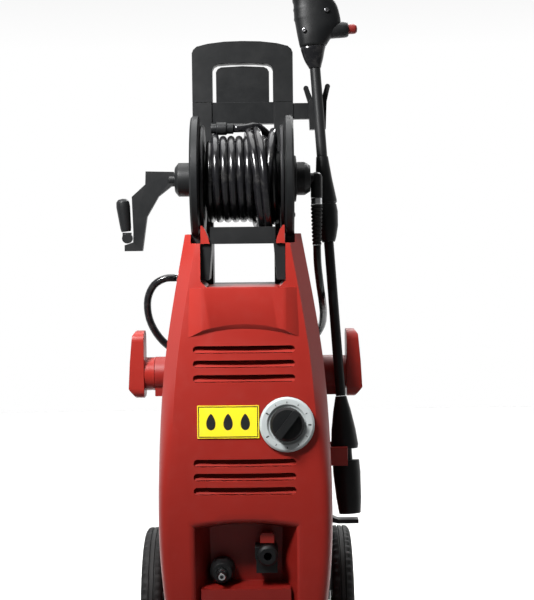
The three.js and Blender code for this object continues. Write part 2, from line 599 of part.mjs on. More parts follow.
// ---- drum, crank and winding --------------------------------------------------------------------
add("drum", turned([[0, -70], [12, -70], [12, -56.6], [DRUM_FLANGE_RADIUS, -56.6],
  [DRUM_FLANGE_RADIUS, -52.6],
  [DRUM_CORE_RADIUS, -52.2], [DRUM_CORE_RADIUS, 52.2], [DRUM_FLANGE_RADIUS, 52.6], [DRUM_FLANGE_RADIUS, 56.6],
  [12, 56.6], [12, 70], [0, 70]], "x", reelAxis, 32), BLACK);
add("hose_winding", turned([[DRUM_CORE_RADIUS + GAP, -WINDING_HALF_WIDTH],
  [WINDING_RADIUS, -WINDING_HALF_WIDTH],
  [WINDING_RADIUS, 2], [LOOSE_WINDING_RADIUS, 8], [LOOSE_WINDING_RADIUS, WINDING_HALF_WIDTH],
  [DRUM_CORE_RADIUS + GAP, WINDING_HALF_WIDTH], [DRUM_CORE_RADIUS + GAP, -WINDING_HALF_WIDTH]],
"x", reelAxis, 32), GLOSS_BLACK);
const connectorAxis = [0, REEL.y, REEL.z + WINDING_RADIUS + 9.4];
add("hose_end_connector", turned([[0, -43], [7, -43], [7, -36], [9, -35], [9, -22], [7.4, -21], [7.4, -12],
  [0, -12]],
  "x", connectorAxis), BLACK);
const HUB_BOSS_END = 102;
add("crank_hub", turned([[0, -HUB_BOSS_END], [9.3, -HUB_BOSS_END], [9.3, -94], [17, -94], [23.4, -89],
  [23.4, -72], [21, -70.6], [0, -70.6]], "x", reelAxis, 24), BLACK);

const ARM_Y = [-13, 3];
const armOutline = [[-95.8, 751], [-134.3, 752], [-135, 734], [-154, 717], [-152.5, 668], [-153, 654],
  [-165, 650],
  [-165, 641.7], [-140.3, 641.7], [-133.4, 689], [-117, 717], [-93.9, 735]];
add("crank_arm", cut(
  prism(armOutline, "y", ...ARM_Y),
  rod(9.6, -HUB_BOSS_END - GAP, -80, "x", reelAxis, 16),
), BLACK);
const GRIP_PIVOT = new THREE.Vector3(-161.5, REEL.y, 659.5);
add("grip_pivot", union(
  rod(7.2, ARM_Y[0] + 2, ARM_Y[1] - 2, "y", [GRIP_PIVOT.x, 0, GRIP_PIVOT.z], 16),
  block(GRIP_PIVOT.x - 6.4, GRIP_PIVOT.x + 5.6, REEL.y - 5, REEL.y + 5, GRIP_PIVOT.z, GRIP_PIVOT.z + 8),
), BLACK);
add("crank_grip", turned([[0, 9.4], [6.6, 9.4], [7.6, 14], [9.7, 44], [9, 51], [6, 54.5], [0, 55.5]],
  "z", [0, 0, 0], 20).rotate([0, -6, 0]).translate([GRIP_PIVOT.x - 0.6, GRIP_PIVOT.y, GRIP_PIVOT.z]), BLACK);

// ---- hose inlet on the reel's right -------------------------------------------------------------
add("swivel_housing", turned([[0, 70.6], [32, 70.6], [32, 74], [23.1, 75], [23.1, 86], [18, 94], [0, 94]],
  "x", reelAxis, 28), BLACK);
const ELBOW_X = 102.5;
const elbowAxis = [ELBOW_X, REEL.y, 0];
add("swivel_elbow", union(
  rod(7.6, 94.3, ELBOW_X, "x", reelAxis),
  turned([[0, 713.3], [8.1, 713.3], [8.1, 742], [6.4, 746.4], [3, 748.6], [0, 749]], "z", elbowAxis),
), BLACK);
add("hose_ferrule", turned([[0, 704], [7.4, 704], [7.8, 706], [7.4, 708.5], [7.8, 711], [7.4, 713], [0, 713]],
  "z", elbowAxis), STEEL);
const reliefBumps = [690.5, 673.2, 656].flatMap((z) => [[6.9, z + 6.5], [8.1, z + 3], [8.1, z - 3],
  [6.9, z - 6.5]]);
add("hose_strain_relief", turned([[0, 703.7], [8, 703.7], [8, 699], ...reliefBumps, [6.4, 647.6],
  [0, 647.6]].toReversed(),
  "z", elbowAxis, 12), SOFT_BLACK);

const LEADER_ROUTE = [[ELBOW_X, -5, 647.3], [103.2, -4, 622], [106.5, 8, 593], [111, 38, 566],
  [113.5, 74, 544],
  [111, 103, 525], [99, 122, 507], [65, 131, 489], [20, 134, 478], [-30, 134, 476], [-75, 130, 481],
  [-106, 124, 491], [-128, 116, 511], [-142, 107, 540], [-143, 100, 570], [-133, 96.5, 590], [-117, 95, 599],
  [-100.3, 95, 600]];
add("leader_hose", pipe(LEADER_ROUTE, HOSE_RADIUS, 8, 50), GLOSS_BLACK);
add("leader_hose_plug", turned([[0, -100], [8, -100], [8, -92], [5.5, -91], [5.5, -82], [0, -82]],
  "x", [0, 95, 600], 20), STEEL);
add("hose_park_clip", cut(
  block(-94, -RAIL_OUTER - GAP, 84, 106, 588, 612),
  rod(8.4, -110, -90.6, "x", [0, 95, 600], 20),
  rod(6, -110, -81, "x", [0, 95, 600], 20),
), BLACK);
add("cable_gland", turned([[0, 97], [11.4, 97], [11.4, REAR_Y + GAP], [15, REAR_Y + GAP], [13, 120],
  [7, 130], [0, 130]],
  "y", [-60, 0, 180]), SOFT_BLACK);

// ---- spray gun and lance, built along their own axis, with the nozzle's groove at z = 0 ---------
const lanceX = X.clone().addScaledVector(LANCE_UP, -X.dot(LANCE_UP)).normalize();
const lanceY = LANCE_UP.clone().cross(lanceX);
const lanceFrame = new THREE.Matrix4().makeBasis(lanceX, lanceY, LANCE_UP).setPosition(LANCE_GROOVE);
const lance = new THREE.Group();
lance.applyMatrix4(lanceFrame);
washer.add(lance);
const addToLance = (name, solid, material) => add(name, solid, material, lance);
const AXIS = [0, 0, 0];

const TUBE_TOP = 553;
const COUPLING_TOP = 425;
const COUPLING_SPLIT = 355.6;
const COUPLING_BOTTOM = 302;
addToLance("lance_tube_upper", rod(LANCE_TUBE_RADIUS + 0.6, COUPLING_TOP + GAP, TUBE_TOP, "z", AXIS), BLACK);
addToLance("lance_coupling", turned([[0, COUPLING_TOP], [8.5, COUPLING_TOP], [12, 392], [16.2, 362],
  [16.2, 358.2], [14.8, 358], [14.8, COUPLING_SPLIT + 1], [0, COUPLING_SPLIT + 1]].toReversed(), "z", AXIS,
    24), BLACK);
addToLance("lance_bulb", turned([[0, COUPLING_SPLIT], [15.2, COUPLING_SPLIT], [16.4, 345], [15.2, 325],
  [11.5, 309], [9, COUPLING_BOTTOM], [0, COUPLING_BOTTOM]].toReversed(), "z", AXIS, 24), GLOSS_BLACK);
addToLance("lance_tube_lower", rod(LANCE_TUBE_RADIUS, 83, COUPLING_BOTTOM - GAP, "z", AXIS), BLACK);
addToLance("nozzle_cone", turned([[0, 82.7], [7.8, 82.7], [12.5, 62], [17, 36], [19.2, 14], [18, 8.5],
  [0, 8.5]].toReversed(), "z", AXIS, 24), BLACK);
addToLance("nozzle_head", cut(
  turned([[0, 8.2], [9.5, 8.2], [9.5, -7], [18.8, -7.5], [19.3, -25], [17.6, -60], [15.2, -82],
    [0, -82]].toReversed(), "z", AXIS, 24),
  rod(11, -100, -70, "z", AXIS),
), BLACK);

const LOCK_AXIS = [14, 0, 676];
const LOCK_RADIUS = 4.2;
function gunBody() {
  // half sizes of the rounded section at each height along the lance: [z, centre x, half x, half y]
  const stations = [[553.3, 0, 8.2, 8.2], [566, -1, 13.5, 11], [584, -0.5, 18.5, 14], [600, 4, 25.5, 16.5],
    [614, 9, 32, 17.5], [630, 8.3, 32.7, 18], [646, 6.5, 30.5, 18], [660, 2, 26.5, 17.5], [680, 4, 23, 17],
    [705, 11, 21, 17], [735, 23, 20, 17], [765, 38, 19.5, 17], [782, 47, 19, 16.5], [790, 50, 14, 12]];
  const body = loft(
    stations.map(([, cx, hx, hy]) => roundedRectangle(cx, 0, hx, hy, Math.min(hx, hy) * 0.85, 3)),
    (i, [x, y]) => new THREE.Vector3(x, y, stations[i][0]),
  );
  const inletBlock = prism([[20, 597], [35, 600.5], [51.8, 613], [51.9, 645], [31.9, 657], [10, 657]], "y",
    -13, 13);
  const triggerSlot = block(22, 60, -5.6, 5.6, 652, 760);
  return cut(union(body, inletBlock), triggerSlot, rod(7.4, 38, 60, "x", [0, 0, 606.5]),
    rod(LOCK_RADIUS + 0.5, -30, 30, "y", LOCK_AXIS));
}
addToLance("gun_body", gunBody(), BLACK);
addToLance("gun_inlet_cap", turned([[0, 38.4], [7, 38.4], [7, 61], [5, 64], [0, 65]], "x", [0, 0, 606.5],
  20), DARK_RED);
const TRIGGER_PIVOT = [27, 659];
addToLance("gun_trigger", union(
  rod(5, -5, 5, "y", [TRIGGER_PIVOT[0], 0, TRIGGER_PIVOT[1]], 16),
  prism([[23.5, 657], [31, 655], [39, 672], [44, 694], [53, 716], [66, 738], [62, 742], [47, 722], [36, 700],
    [31, 678], [26, 664]], "y", -5, 5),
), BLACK);
addToLance("trigger_lock", rod(LOCK_RADIUS, -20.5, 17.5, "y", LOCK_AXIS), RED);

// ---- holders for the lance on the body's right side ---------------------------------------------
/** A red arm that reaches round the front of the nozzle from the body's side, open to the outside. */
function nozzleClip() {
  const [bottom, top] = [LANCE_GROOVE.z - 11, LANCE_GROOVE.z + 15];
  const web = block(100, 119.5, -27, 27, bottom, top);
  const front = block(100, 142, -27, -21.5, bottom, top);
  const back = block(100, 134, 23, 27, bottom, top);
  return cut(union(web, front, back), frontSolid(-GAP, 300, 400));
}
add("nozzle_clip", nozzleClip(), RED);
function nozzleRest() {
  const arm = prism([[100, 283], [111, 282], [121, 266], [129, 262.5], [157, 262.5], [157, 257], [129, 257],
    [117, 259], [100, 247]], "y", -16, 4);
  return cut(arm, frontSolid(-GAP, 200, 330));
}
add("nozzle_rest", nozzleRest(), BLACK);

export default washer;
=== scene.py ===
"""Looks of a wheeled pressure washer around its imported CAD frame. Metres, +Z up, front towards -Y."""
import json
import math

import bmesh
import bpy
from mathutils import Matrix, Vector
from mathutils.bvhtree import BVHTree


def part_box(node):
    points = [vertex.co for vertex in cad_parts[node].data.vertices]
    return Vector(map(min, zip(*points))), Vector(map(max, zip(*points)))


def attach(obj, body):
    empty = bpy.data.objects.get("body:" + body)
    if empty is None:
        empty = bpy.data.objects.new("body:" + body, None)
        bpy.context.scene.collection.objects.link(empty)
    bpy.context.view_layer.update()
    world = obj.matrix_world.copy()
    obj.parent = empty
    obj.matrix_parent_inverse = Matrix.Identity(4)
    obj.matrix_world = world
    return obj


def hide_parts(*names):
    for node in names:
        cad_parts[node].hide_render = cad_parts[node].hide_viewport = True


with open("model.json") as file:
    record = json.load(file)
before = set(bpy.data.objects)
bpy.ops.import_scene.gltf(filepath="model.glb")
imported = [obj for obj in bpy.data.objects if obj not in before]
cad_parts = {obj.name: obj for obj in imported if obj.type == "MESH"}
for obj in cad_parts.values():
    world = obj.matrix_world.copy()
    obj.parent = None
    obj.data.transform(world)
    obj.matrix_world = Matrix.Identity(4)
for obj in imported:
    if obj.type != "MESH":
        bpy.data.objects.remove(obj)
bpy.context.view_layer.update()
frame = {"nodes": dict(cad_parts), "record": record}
MM = 0.001

# ---- camera, at the height of the reel, turned a little -------------------------------------------
CAMERA_PLACE = (0.032, -2.0, 0.678)
CAMERA_PITCH = math.radians(90 - 3.06)
CAMERA_ROLL = math.radians(-0.63)
CAMERA_LENS = 85.8


def make_camera():
    data = bpy.data.cameras.new("camera")
    data.lens = CAMERA_LENS
    camera = bpy.data.objects.new("camera", data)
    bpy.context.scene.collection.objects.link(camera)
    turn = Matrix.Rotation(CAMERA_PITCH, 4, "X") @ Matrix.Rotation(CAMERA_ROLL, 4, "Z")
    camera.matrix_world = Matrix.Translation(CAMERA_PLACE) @ turn
    bpy.context.scene.camera = camera


make_camera()


# ---- mesh helpers ---------------------------------------------------------------------------------
def new_object(name, data):
    made = bpy.data.objects.new(name, data)
    bpy.context.scene.collection.objects.link(made)
    return made


def mesh_piece(name, points, faces, body=None, slot=None, smooth=True):
    """A mesh piece; with a body, it rides on it."""
    mesh = bpy.data.meshes.new(name)
    mesh.from_pydata([tuple(p) for p in points], [], faces)
    mesh.validate()
    tidy = bmesh.new()
    tidy.from_mesh(mesh)
    bmesh.ops.remove_doubles(tidy, verts=tidy.verts, dist=1e-7)
    bmesh.ops.recalc_face_normals(tidy, faces=tidy.faces)
    tidy.to_mesh(mesh)
    tidy.free()
    mesh.shade_smooth() if smooth else mesh.shade_flat()
    piece = new_object(name, mesh)
    if body:
        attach(piece, body)
    return piece


def sharp_edges(piece, degrees=35):
    piece.data.set_sharp_from_angle(angle=math.radians(degrees))


def basis_along(direction, near=(0, 0, 1)):
    """Two unit vectors square to a direction."""
    along = Vector(direction).normalized()
    helper = Vector(near)
    if abs(along.dot(helper)) > 0.95:
        helper = Vector((1, 0, 0))
    first = along.cross(helper).normalized()
    return first, along.cross(first).normalized()


def skin_faces(rings, count):
    """Faces through rings of count points each, with both ends closed."""
    faces = []
    for i in range(rings - 1):
        for k in range(count):
            n = (k + 1) % count
            faces.append((i * count + k, i * count + n, (i + 1) * count + n, (i + 1) * count + k))
    faces.append(tuple(range(count)))
    faces.append(tuple((rings - 1) * count + k for k in range(count)))
    return faces


def tube_mesh(path, radius, sides):
    """Points and faces of a round tube along a path, its ends closed, with a frame carried along."""
    points = []
    last = len(path) - 1
    side = None
    for i, p in enumerate(path):
        along = (path[min(i + 1, last)] - path[max(i - 1, 0)]).normalized()
        if side is None:
            side = basis_along(along)[0]
        side = (side - along * side.dot(along)).normalized()
        other = along.cross(side)
        for k in range(sides):
            a = 2 * math.pi * k / sides
            points.append(p + side * (radius * math.cos(a)) + other * (radius * math.sin(a)))
    return points, skin_faces(len(path), sides)


def turned_mesh(profile, centre, axis, segments=48, shape=None):
    """A profile of (radius, place along the axis) turned about an axis; shape(a, r, t) may change r."""
    along = Vector(axis).normalized()
    first, second = basis_along(along)
    points, faces = [], []
    for k in range(segments):
        a = 2 * math.pi * k / segments
        out = first * math.cos(a) + second * math.sin(a)
        for r, t in profile:
            r = shape(a, r, t) if shape else r
            points.append(Vector(centre) + out * r + along * t)
    count = len(profile)
    for k in range(segments):
        n = (k + 1) % segments
        for i in range(count - 1):
            faces.append((k * count + i, k * count + i + 1, n * count + i + 1, n * count + i))
    return points, faces


def joined(meshes):
    """The points and faces of several meshes as one."""
    points, faces = [], []
    for more, more_faces in meshes:
        faces += [tuple(len(points) + i for i in face) for face in more_faces]
        points += more
    return points, faces


def on_table(table, z):
    """The row of a table at z, on a smooth curve through its rows."""
    i = next((k for k in range(len(table) - 1) if z <= table[k + 1][0]), len(table) - 2)
    before, a, b, after = (table[min(max(k, 0), len(table) - 1)] for k in (i - 1, i, i + 1, i + 2))
    span = b[0] - a[0]
    t = (z - a[0]) / span
    out = []
    for c in range(1, len(a)):
        rise_a = (b[c] - before[c]) / (b[0] - before[0]) * span
        rise_b = (after[c] - a[c]) / (after[0] - a[0]) * span
        out.append((2 * t**3 - 3 * t**2 + 1) * a[c] + (t**3 - 2 * t**2 + t) * rise_a
                   + (3 * t**2 - 2 * t**3) * b[c] + (t**3 - t**2) * rise_b)
    return out


# ---- cords ----------------------------------------------------------------------------------------
HOSE_RADIUS = 5.5 * MM
REEL_CENTRE = Vector((0, -5, 740)) * MM
# the leader hose: from the swivel's relief round the back to its parking clip, in millimetres
LEADER_ROUTE = [(102.5, -5, 647.3), (103.2, -4, 622), (106.5, 8, 593), (111, 38, 566), (113.5, 74, 544),
                (111, 103, 525), (99, 122, 507), (65, 131, 489), (20, 134, 478), (-30, 134, 476),
                (-75, 130, 481), (-106, 124, 491), (-128, 116, 511), (-142, 107, 540), (-143, 100, 570),
                (-133, 96.5, 590), (-117, 95, 599), (-100.3, 95, 600)]


def smooth_path(points, per_span):
    """A centripetal Catmull-Rom curve through points."""
    ends = [points[0] * 2 - points[1], *points, points[-1] * 2 - points[-2]]
    path = []
    for a, b, c, d in zip(ends, ends[1:], ends[2:], ends[3:]):
        t0, t1 = 0, math.sqrt((b - a).length)
        t2 = t1 + math.sqrt((c - b).length)
        t3 = t2 + math.sqrt((d - c).length)
        for k in range(per_span):
            t = t1 + (t2 - t1) * k / per_span
            ab = a * ((t1 - t) / (t1 - t0)) + b * ((t - t0) / (t1 - t0))
            bc = b * ((t2 - t) / (t2 - t1)) + c * ((t - t1) / (t2 - t1))
            cd = c * ((t3 - t) / (t3 - t2)) + d * ((t - t2) / (t3 - t2))
            abc = ab * ((t2 - t) / (t2 - t0)) + bc * ((t - t0) / (t2 - t0))
            bcd = bc * ((t3 - t) / (t3 - t1)) + cd * ((t - t1) / (t3 - t1))
            path.append(abc * ((t2 - t) / (t2 - t1)) + bcd * ((t - t1) / (t2 - t1)))
    return [*path, points[-1]]


WINDING_STEPS = 32  # points in each turn
FIRST_LAYER = 44.3 * MM  # radius of the hose's centreline on the bare drum
WINDING_EDGE = 44.2 * MM  # where the first and last turns of a neat layer lie, along X
PITCH = 2 * HOSE_RADIUS
LOOSE_STARTS = (14 * MM, 25 * MM)  # where the loose turns over the neat ones begin, along X
LOOSE_END = 38 * MM
LOOSE_SLANT = 7 * MM  # how far a loose turn leans to each side
LARGEST_TURN = 77.8 * MM  # the turns clear the crossbar in front of the drum
END_BEND = 44 * MM  # radius of the last bend, towards the connector
END_BEND_STEPS = 10
END_STRAIGHT = 6 * MM  # straight hose that goes into the connector
SMOOTHING_PASSES = 3
LOOSE_RADIUS = 66.3 * MM
CONNECTOR_AXIS_RADIUS = 70.2 * MM
WINDING_SIDES = 12
LEADER_SIDES = 16
LEADER_STEPS = 4  # between two points of the route


def eased(a, b, t):
    """From a to b as t runs from 0 to 1, gently at both ends."""
    return a + (b - a) * t * t * (3 - 2 * t)


def winding_places():
    """Where each point of the winding lies along the axis: two neat layers, then the loose turns."""
    steps = round(2 * WINDING_EDGE / PITCH * WINDING_STEPS)
    neat = [WINDING_EDGE - 2 * WINDING_EDGE * i / steps for i in range(steps)]
    turns = [i / WINDING_STEPS for i in range(WINDING_STEPS)]
    half_turn = WINDING_STEPS // 2
    rest = [-WINDING_EDGE] * half_turn + [-x for x in neat] + [WINDING_EDGE] * half_turn
    crossing = [eased(WINDING_EDGE, LOOSE_STARTS[0] - LOOSE_SLANT, t) for t in turns]
    slant = [LOOSE_SLANT * math.cos(2 * math.pi * t) for t in turns]
    loose = [LOOSE_STARTS[0] + PITCH * t - lean for t, lean in zip(turns, slant)]
    last = [eased(LOOSE_STARTS[1], LOOSE_END, t) - lean * (1 - t) for t, lean in zip(turns, slant)]
    return neat + rest + crossing + loose + last


def stacked_radii(angles, places):
    """The radius of each point, so that the hose lies on the turns below it."""
    near = math.pi / WINDING_STEPS + 1e-6
    radii = []
    for i, (angle, x) in enumerate(zip(angles, places)):
        r = FIRST_LAYER
        for below in range(i - WINDING_STEPS // 2):
            gap = (angle - angles[below]) % (2 * math.pi)
            across = abs(x - places[below])
            if min(gap, 2 * math.pi - gap) < near and across < PITCH:
                r = max(r, radii[below] + math.sqrt(PITCH * PITCH - across * across))
        radii.append(min(r, LARGEST_TURN))
    return radii


def winding_path():
    """The hose on the drum; its end bends sideways to its connector."""
    places = winding_places()
    end_angle = -END_BEND / LOOSE_RADIUS
    last = len(places) - 1
    angles = [end_angle + 2 * math.pi * (i - last) / WINDING_STEPS for i in range(last + 1)]
    for k in range(1, END_BEND_STEPS + 1):
        a = (k / END_BEND_STEPS) * math.pi / 2
        angles.append(end_angle * (1 - math.sin(a)))
        places.append(LOOSE_END - END_BEND * (1 - math.cos(a)))
    radii = stacked_radii(angles, places)
    for _ in range(SMOOTHING_PASSES):
        before = [radii[0], *radii[:-1]]
        after = [*radii[1:], radii[-1]]
        radii = [(low + r + high) / 3 for low, r, high in zip(before, radii, after)]
    for k in range(END_BEND_STEPS // 2):
        share = (k + 1) / (END_BEND_STEPS // 2)
        i = len(radii) - END_BEND_STEPS // 2 + k
        radii[i] = eased(radii[i], CONNECTOR_AXIS_RADIUS, share)
    path = [REEL_CENTRE + Vector((x, -r * math.sin(a), r * math.cos(a)))
            for a, x, r in zip(angles, places, radii)]
    return [*path, path[-1] - Vector((END_STRAIGHT, 0, 0))]


def make_cords():
    path = winding_path()
    points, faces = tube_mesh(path, HOSE_RADIUS, WINDING_SIDES)
    winding = mesh_piece("wound_hose", points, faces, "reel", "gloss_hose")
    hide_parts("hose_winding")
    route = smooth_path([Vector(p) * MM for p in LEADER_ROUTE], LEADER_STEPS)
    points, faces = tube_mesh(route, HOSE_RADIUS, LEADER_SIDES)
    leader = mesh_piece("leader_hose_tube", points, faces, "washer", "gloss_hose")
    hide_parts("leader_hose")
    return winding, leader


WINDING, LEADER = make_cords()


# ---- materials ------------------------------------------------------------------------------------
def node_material(name):
    material = bpy.data.materials.new(name)
    material.use_nodes = True
    tree = material.node_tree
    return material, tree.nodes, tree.links, tree.nodes["Principled BSDF"]


def noise_node(nodes, links, place, scale, detail=3, roughness=0.55):
    made = nodes.new("ShaderNodeTexNoise")
    made.inputs["Scale"].default_value = scale
    made.inputs["Detail"].default_value = detail
    made.inputs["Roughness"].default_value = roughness
    links.new(place, made.inputs["Vector"])
    return made.outputs["Fac"]


def ramp_node(nodes, links, factor, low, high, from_value, to_value):
    made = nodes.new("ShaderNodeMapRange")
    made.inputs["From Min"].default_value = low
    made.inputs["From Max"].default_value = high
    made.inputs["To Min"].default_value = from_value
    made.inputs["To Max"].default_value = to_value
    links.new(factor, made.inputs["Value"])
    return made.outputs["Result"]


def mix_colour(nodes, links, factor, a, b):
    made = nodes.new("ShaderNodeMix")
    made.data_type = "RGBA"
    for socket, value in (("A", a), ("B", b)):
        target = [s for s in made.inputs if s.name == socket and s.type == "RGBA"][0]
        if hasattr(value, "default_value"):
            links.new(value, target)
        else:
            target.default_value = (*value, 1)
    links.new(factor, made.inputs[0])
    return [s for s in made.outputs if s.type == "RGBA"][0]


SLOW_SCALE = 9  # noise scales, per metre
BLOTCH_SCALE = 55
WORN_EDGES = (0.52, 0.60)  # pointiness where wear begins and where it is full
DUST_COLOUR = (0.42, 0.40, 0.37)
GRAIN_DEPTH = 0.4 * MM
SWELL_DEPTH = 2 * MM
SWELL_STRENGTH = 0.06
COAT_ROUGHNESS = 0.12


def scaled(colour, factor):
    return tuple(min(1, c * factor) for c in colour)


def moulded(name, colour, roughness, grain=0.12, grain_scale=1600, wave=0.05, wear=0.25, worn=None,
            metallic=0.0, coat=0.0, dust=0.06, spread=0.10, shine=0.4):
    """Moulded plastic, rubber or metal: fine grain, slow waves of colour and gloss, worn edges, dust."""
    material, nodes, links, shader = node_material(name)
    place = nodes.new("ShaderNodeTexCoord").outputs["Object"]
    slow = noise_node(nodes, links, place, SLOW_SCALE, 4)
    fine = noise_node(nodes, links, place, grain_scale, 2)
    blotch = noise_node(nodes, links, place, BLOTCH_SCALE, 5, 0.65)
    tone = mix_colour(nodes, links, ramp_node(nodes, links, slow, 0.3, 0.7, 0, 1),
                      scaled(colour, 1 - wave), scaled(colour, 1 + wave))
    pointiness = nodes.new("ShaderNodeNewGeometry").outputs["Pointiness"]
    edge = ramp_node(nodes, links, pointiness, *WORN_EDGES, 0, wear)
    tone = mix_colour(nodes, links, edge, tone, worn or scaled(colour, 1.6))
    film = ramp_node(nodes, links, blotch, 0.52, 0.78, 0, dust)
    tone = mix_colour(nodes, links, film, tone, DUST_COLOUR)
    links.new(tone, shader.inputs["Base Color"])
    links.new(ramp_node(nodes, links, blotch, 0.3, 0.75, roughness - spread / 2, roughness + spread / 2),
              shader.inputs["Roughness"])
    shader.inputs["Metallic"].default_value = metallic
    shader.inputs["Specular IOR Level"].default_value = shine
    if coat:
        shader.inputs["Coat Weight"].default_value = coat
        shader.inputs["Coat Roughness"].default_value = COAT_ROUGHNESS
    bump = nodes.new("ShaderNodeBump")
    bump.inputs["Strength"].default_value = grain
    bump.inputs["Distance"].default_value = GRAIN_DEPTH
    links.new(fine, bump.inputs["Height"])
    swell = nodes.new("ShaderNodeBump")
    swell.inputs["Strength"].default_value = SWELL_STRENGTH
    swell.inputs["Distance"].default_value = SWELL_DEPTH
    links.new(blotch, swell.inputs["Height"])
    links.new(bump.outputs["Normal"], swell.inputs["Normal"])
    links.new(swell.outputs["Normal"], shader.inputs["Normal"])
    return material


RED = (0.25, 0.015, 0.010)
DARK_RED = (0.19, 0.009, 0.006)
BLACK = (0.0055, 0.006, 0.0065)
HOSE_BLACK = (0.006, 0.006, 0.007)
RUBBER = (0.008, 0.008, 0.008)
STEEL = (0.62, 0.63, 0.64)
DARK_STEEL = (0.16, 0.16, 0.165)
CASTING = (0.42, 0.43, 0.44)
YELLOW = (0.85, 0.66, 0.02)
PALE_GREY = (0.40, 0.43, 0.43)
MATERIALS = {
    "red_plastic": moulded("red_plastic_look", RED, 0.36, worn=(0.36, 0.04, 0.03), dust=0.008, shine=0.3),
    "dark_red_plastic": moulded("dark_red_plastic_look", DARK_RED, 0.45, dust=0.01),
    "black_plastic": moulded("black_plastic_look", BLACK, 0.42, worn=(0.04, 0.04, 0.04), dust=0.004,
                             shine=0.25),
    "black_rubber": moulded("black_rubber_look", RUBBER, 0.7, grain=0.3, grain_scale=900, dust=0.02),
    "gloss_hose": moulded("gloss_hose_look", HOSE_BLACK, 0.24, grain=0.05, wear=0, coat=0.2),
    "bright_steel": moulded("bright_steel_look", STEEL, 0.25, grain=0.06, grain_scale=2600, wear=0.3,
                            metallic=1.0),
    "dark_steel": moulded("dark_steel_look", DARK_STEEL, 0.35, grain=0.06, metallic=1.0),
    "pump_casting": moulded("pump_casting_look", CASTING, 0.5, grain=0.4, grain_scale=700, metallic=0.9),
    "label_yellow": moulded("label_yellow_look", YELLOW, 0.34, grain=0.03, wear=0),
    "pale_grey_plastic": moulded("pale_grey_plastic_look", PALE_GREY, 0.4),
}


# ---- places on the CAD surfaces ---------------------------------------------------------------------
def surface(node):
    """A search tree of a CAD node's faces, for laying marks and screws on it."""
    mesh = frame["nodes"][node].data
    return BVHTree.FromPolygons([v.co for v in mesh.vertices], [p.vertices for p in mesh.polygons])


MARK_LIFT = 0.12 * MM
MARK_DEPTH = 0.2 * MM


def front_marks(name, node, outlines, look):
    """Thin printed marks: outlines of (x, z) in mm, laid on the front of a CAD node."""
    tree = surface(node)
    points, faces = [], []
    for outline in outlines:
        start, count = len(points), len(outline)
        hits = [tree.ray_cast(Vector((x * MM, -1, z * MM)), Vector((0, 1, 0)))[0] for x, z in outline]
        points += [p - Vector((0, MARK_LIFT, 0)) for p in hits]
        points += [p + Vector((0, MARK_DEPTH, 0)) for p in hits]
        faces.append(tuple(start + i for i in range(count)))
        faces.append(tuple(start + count + i for i in reversed(range(count))))
        for i in range(count):
            n = (i + 1) % count
            faces.append((start + i, start + count + i, start + count + n, start + n))
    piece = mesh_piece(name, points, faces, "washer", look, smooth=False)
    piece.data.materials.append(MATERIALS[look])


def bar(x0, x1, z0, z1):
    """An upright rectangle, as an outline."""
    return [(x0, z0), (x1, z0), (x1, z1), (x0, z1)]


LABEL_MARGIN = 1.2
LABEL_LINE = 1.3  # width of the border
LABEL_STEPS = 8  # pieces of the border, which follow the curved plate
DROP_PLACES = (17, 40, 63)  # from the border's left edge
DROP_SIZE = (7.5, 11)


def label_marks():
    """A border and three drops on the label."""
    low, high = (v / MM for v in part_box("label_plate"))
    x0, x1 = low.x + LABEL_MARGIN, high.x - LABEL_MARGIN
    z0, z1 = low.z + LABEL_MARGIN, high.z - LABEL_MARGIN
    line, steps = LABEL_LINE, LABEL_STEPS
    marks = [bar(x0, x0 + line, z0, z1), bar(x1 - line, x1, z0, z1)]
    for k in range(steps):
        a = x0 + line + (x1 - x0 - 2 * line) * k / steps
        b = x0 + line + (x1 - x0 - 2 * line) * (k + 1) / steps
        marks += [bar(a, b, z0, z0 + line), bar(a, b, z1 - line, z1)]
    middle = (z0 + z1) / 2
    wide, high = DROP_SIZE
    turn = [2 * math.pi * k / 28 for k in range(28)]
    for column in DROP_PLACES:
        marks.append([(x0 + column + wide * math.sin(t) * math.sin(t / 2) ** 0.6, middle + high * math.cos(t))
                      for t in turn])
    front_marks("label_marks", "label_plate", marks, "black_plastic")


DIAL_TICKS = 11
DIAL_START, DIAL_STEP = -60, 30  # degrees, clockwise from the top
SHORT_TICK = (28.6, 31.2, 0.55)  # inner radius, outer radius, half width
LONG_TICK = (28.2, 32.4, 0.9)


def dial_marks():
    """Eleven ticks round the knob, every fifth one longer."""
    low, high = (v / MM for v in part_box("switch_bezel"))
    centre_x, centre_z = (low.x + high.x) / 2, (low.z + high.z) / 2
    marks = []
    for k in range(DIAL_TICKS):
        angle = math.radians(DIAL_START + DIAL_STEP * k)
        inner, outer, half = SHORT_TICK if k % 5 else LONG_TICK
        along = (math.sin(angle), math.cos(angle))
        across = (math.cos(angle), -math.sin(angle))
        marks.append([(centre_x + along[0] * r + across[0] * w, centre_z + along[1] * r + across[1] * w)
                      for r, w in ((inner, -half), (outer, -half), (outer, half), (inner, half))])
    front_marks("dial_marks", "switch_bezel", marks, "black_plastic")


# ---- screws -----------------------------------------------------------------------------------------
SCREW_RADIUS = 3.4 * MM
SCREW_HEIGHT = 1.8 * MM


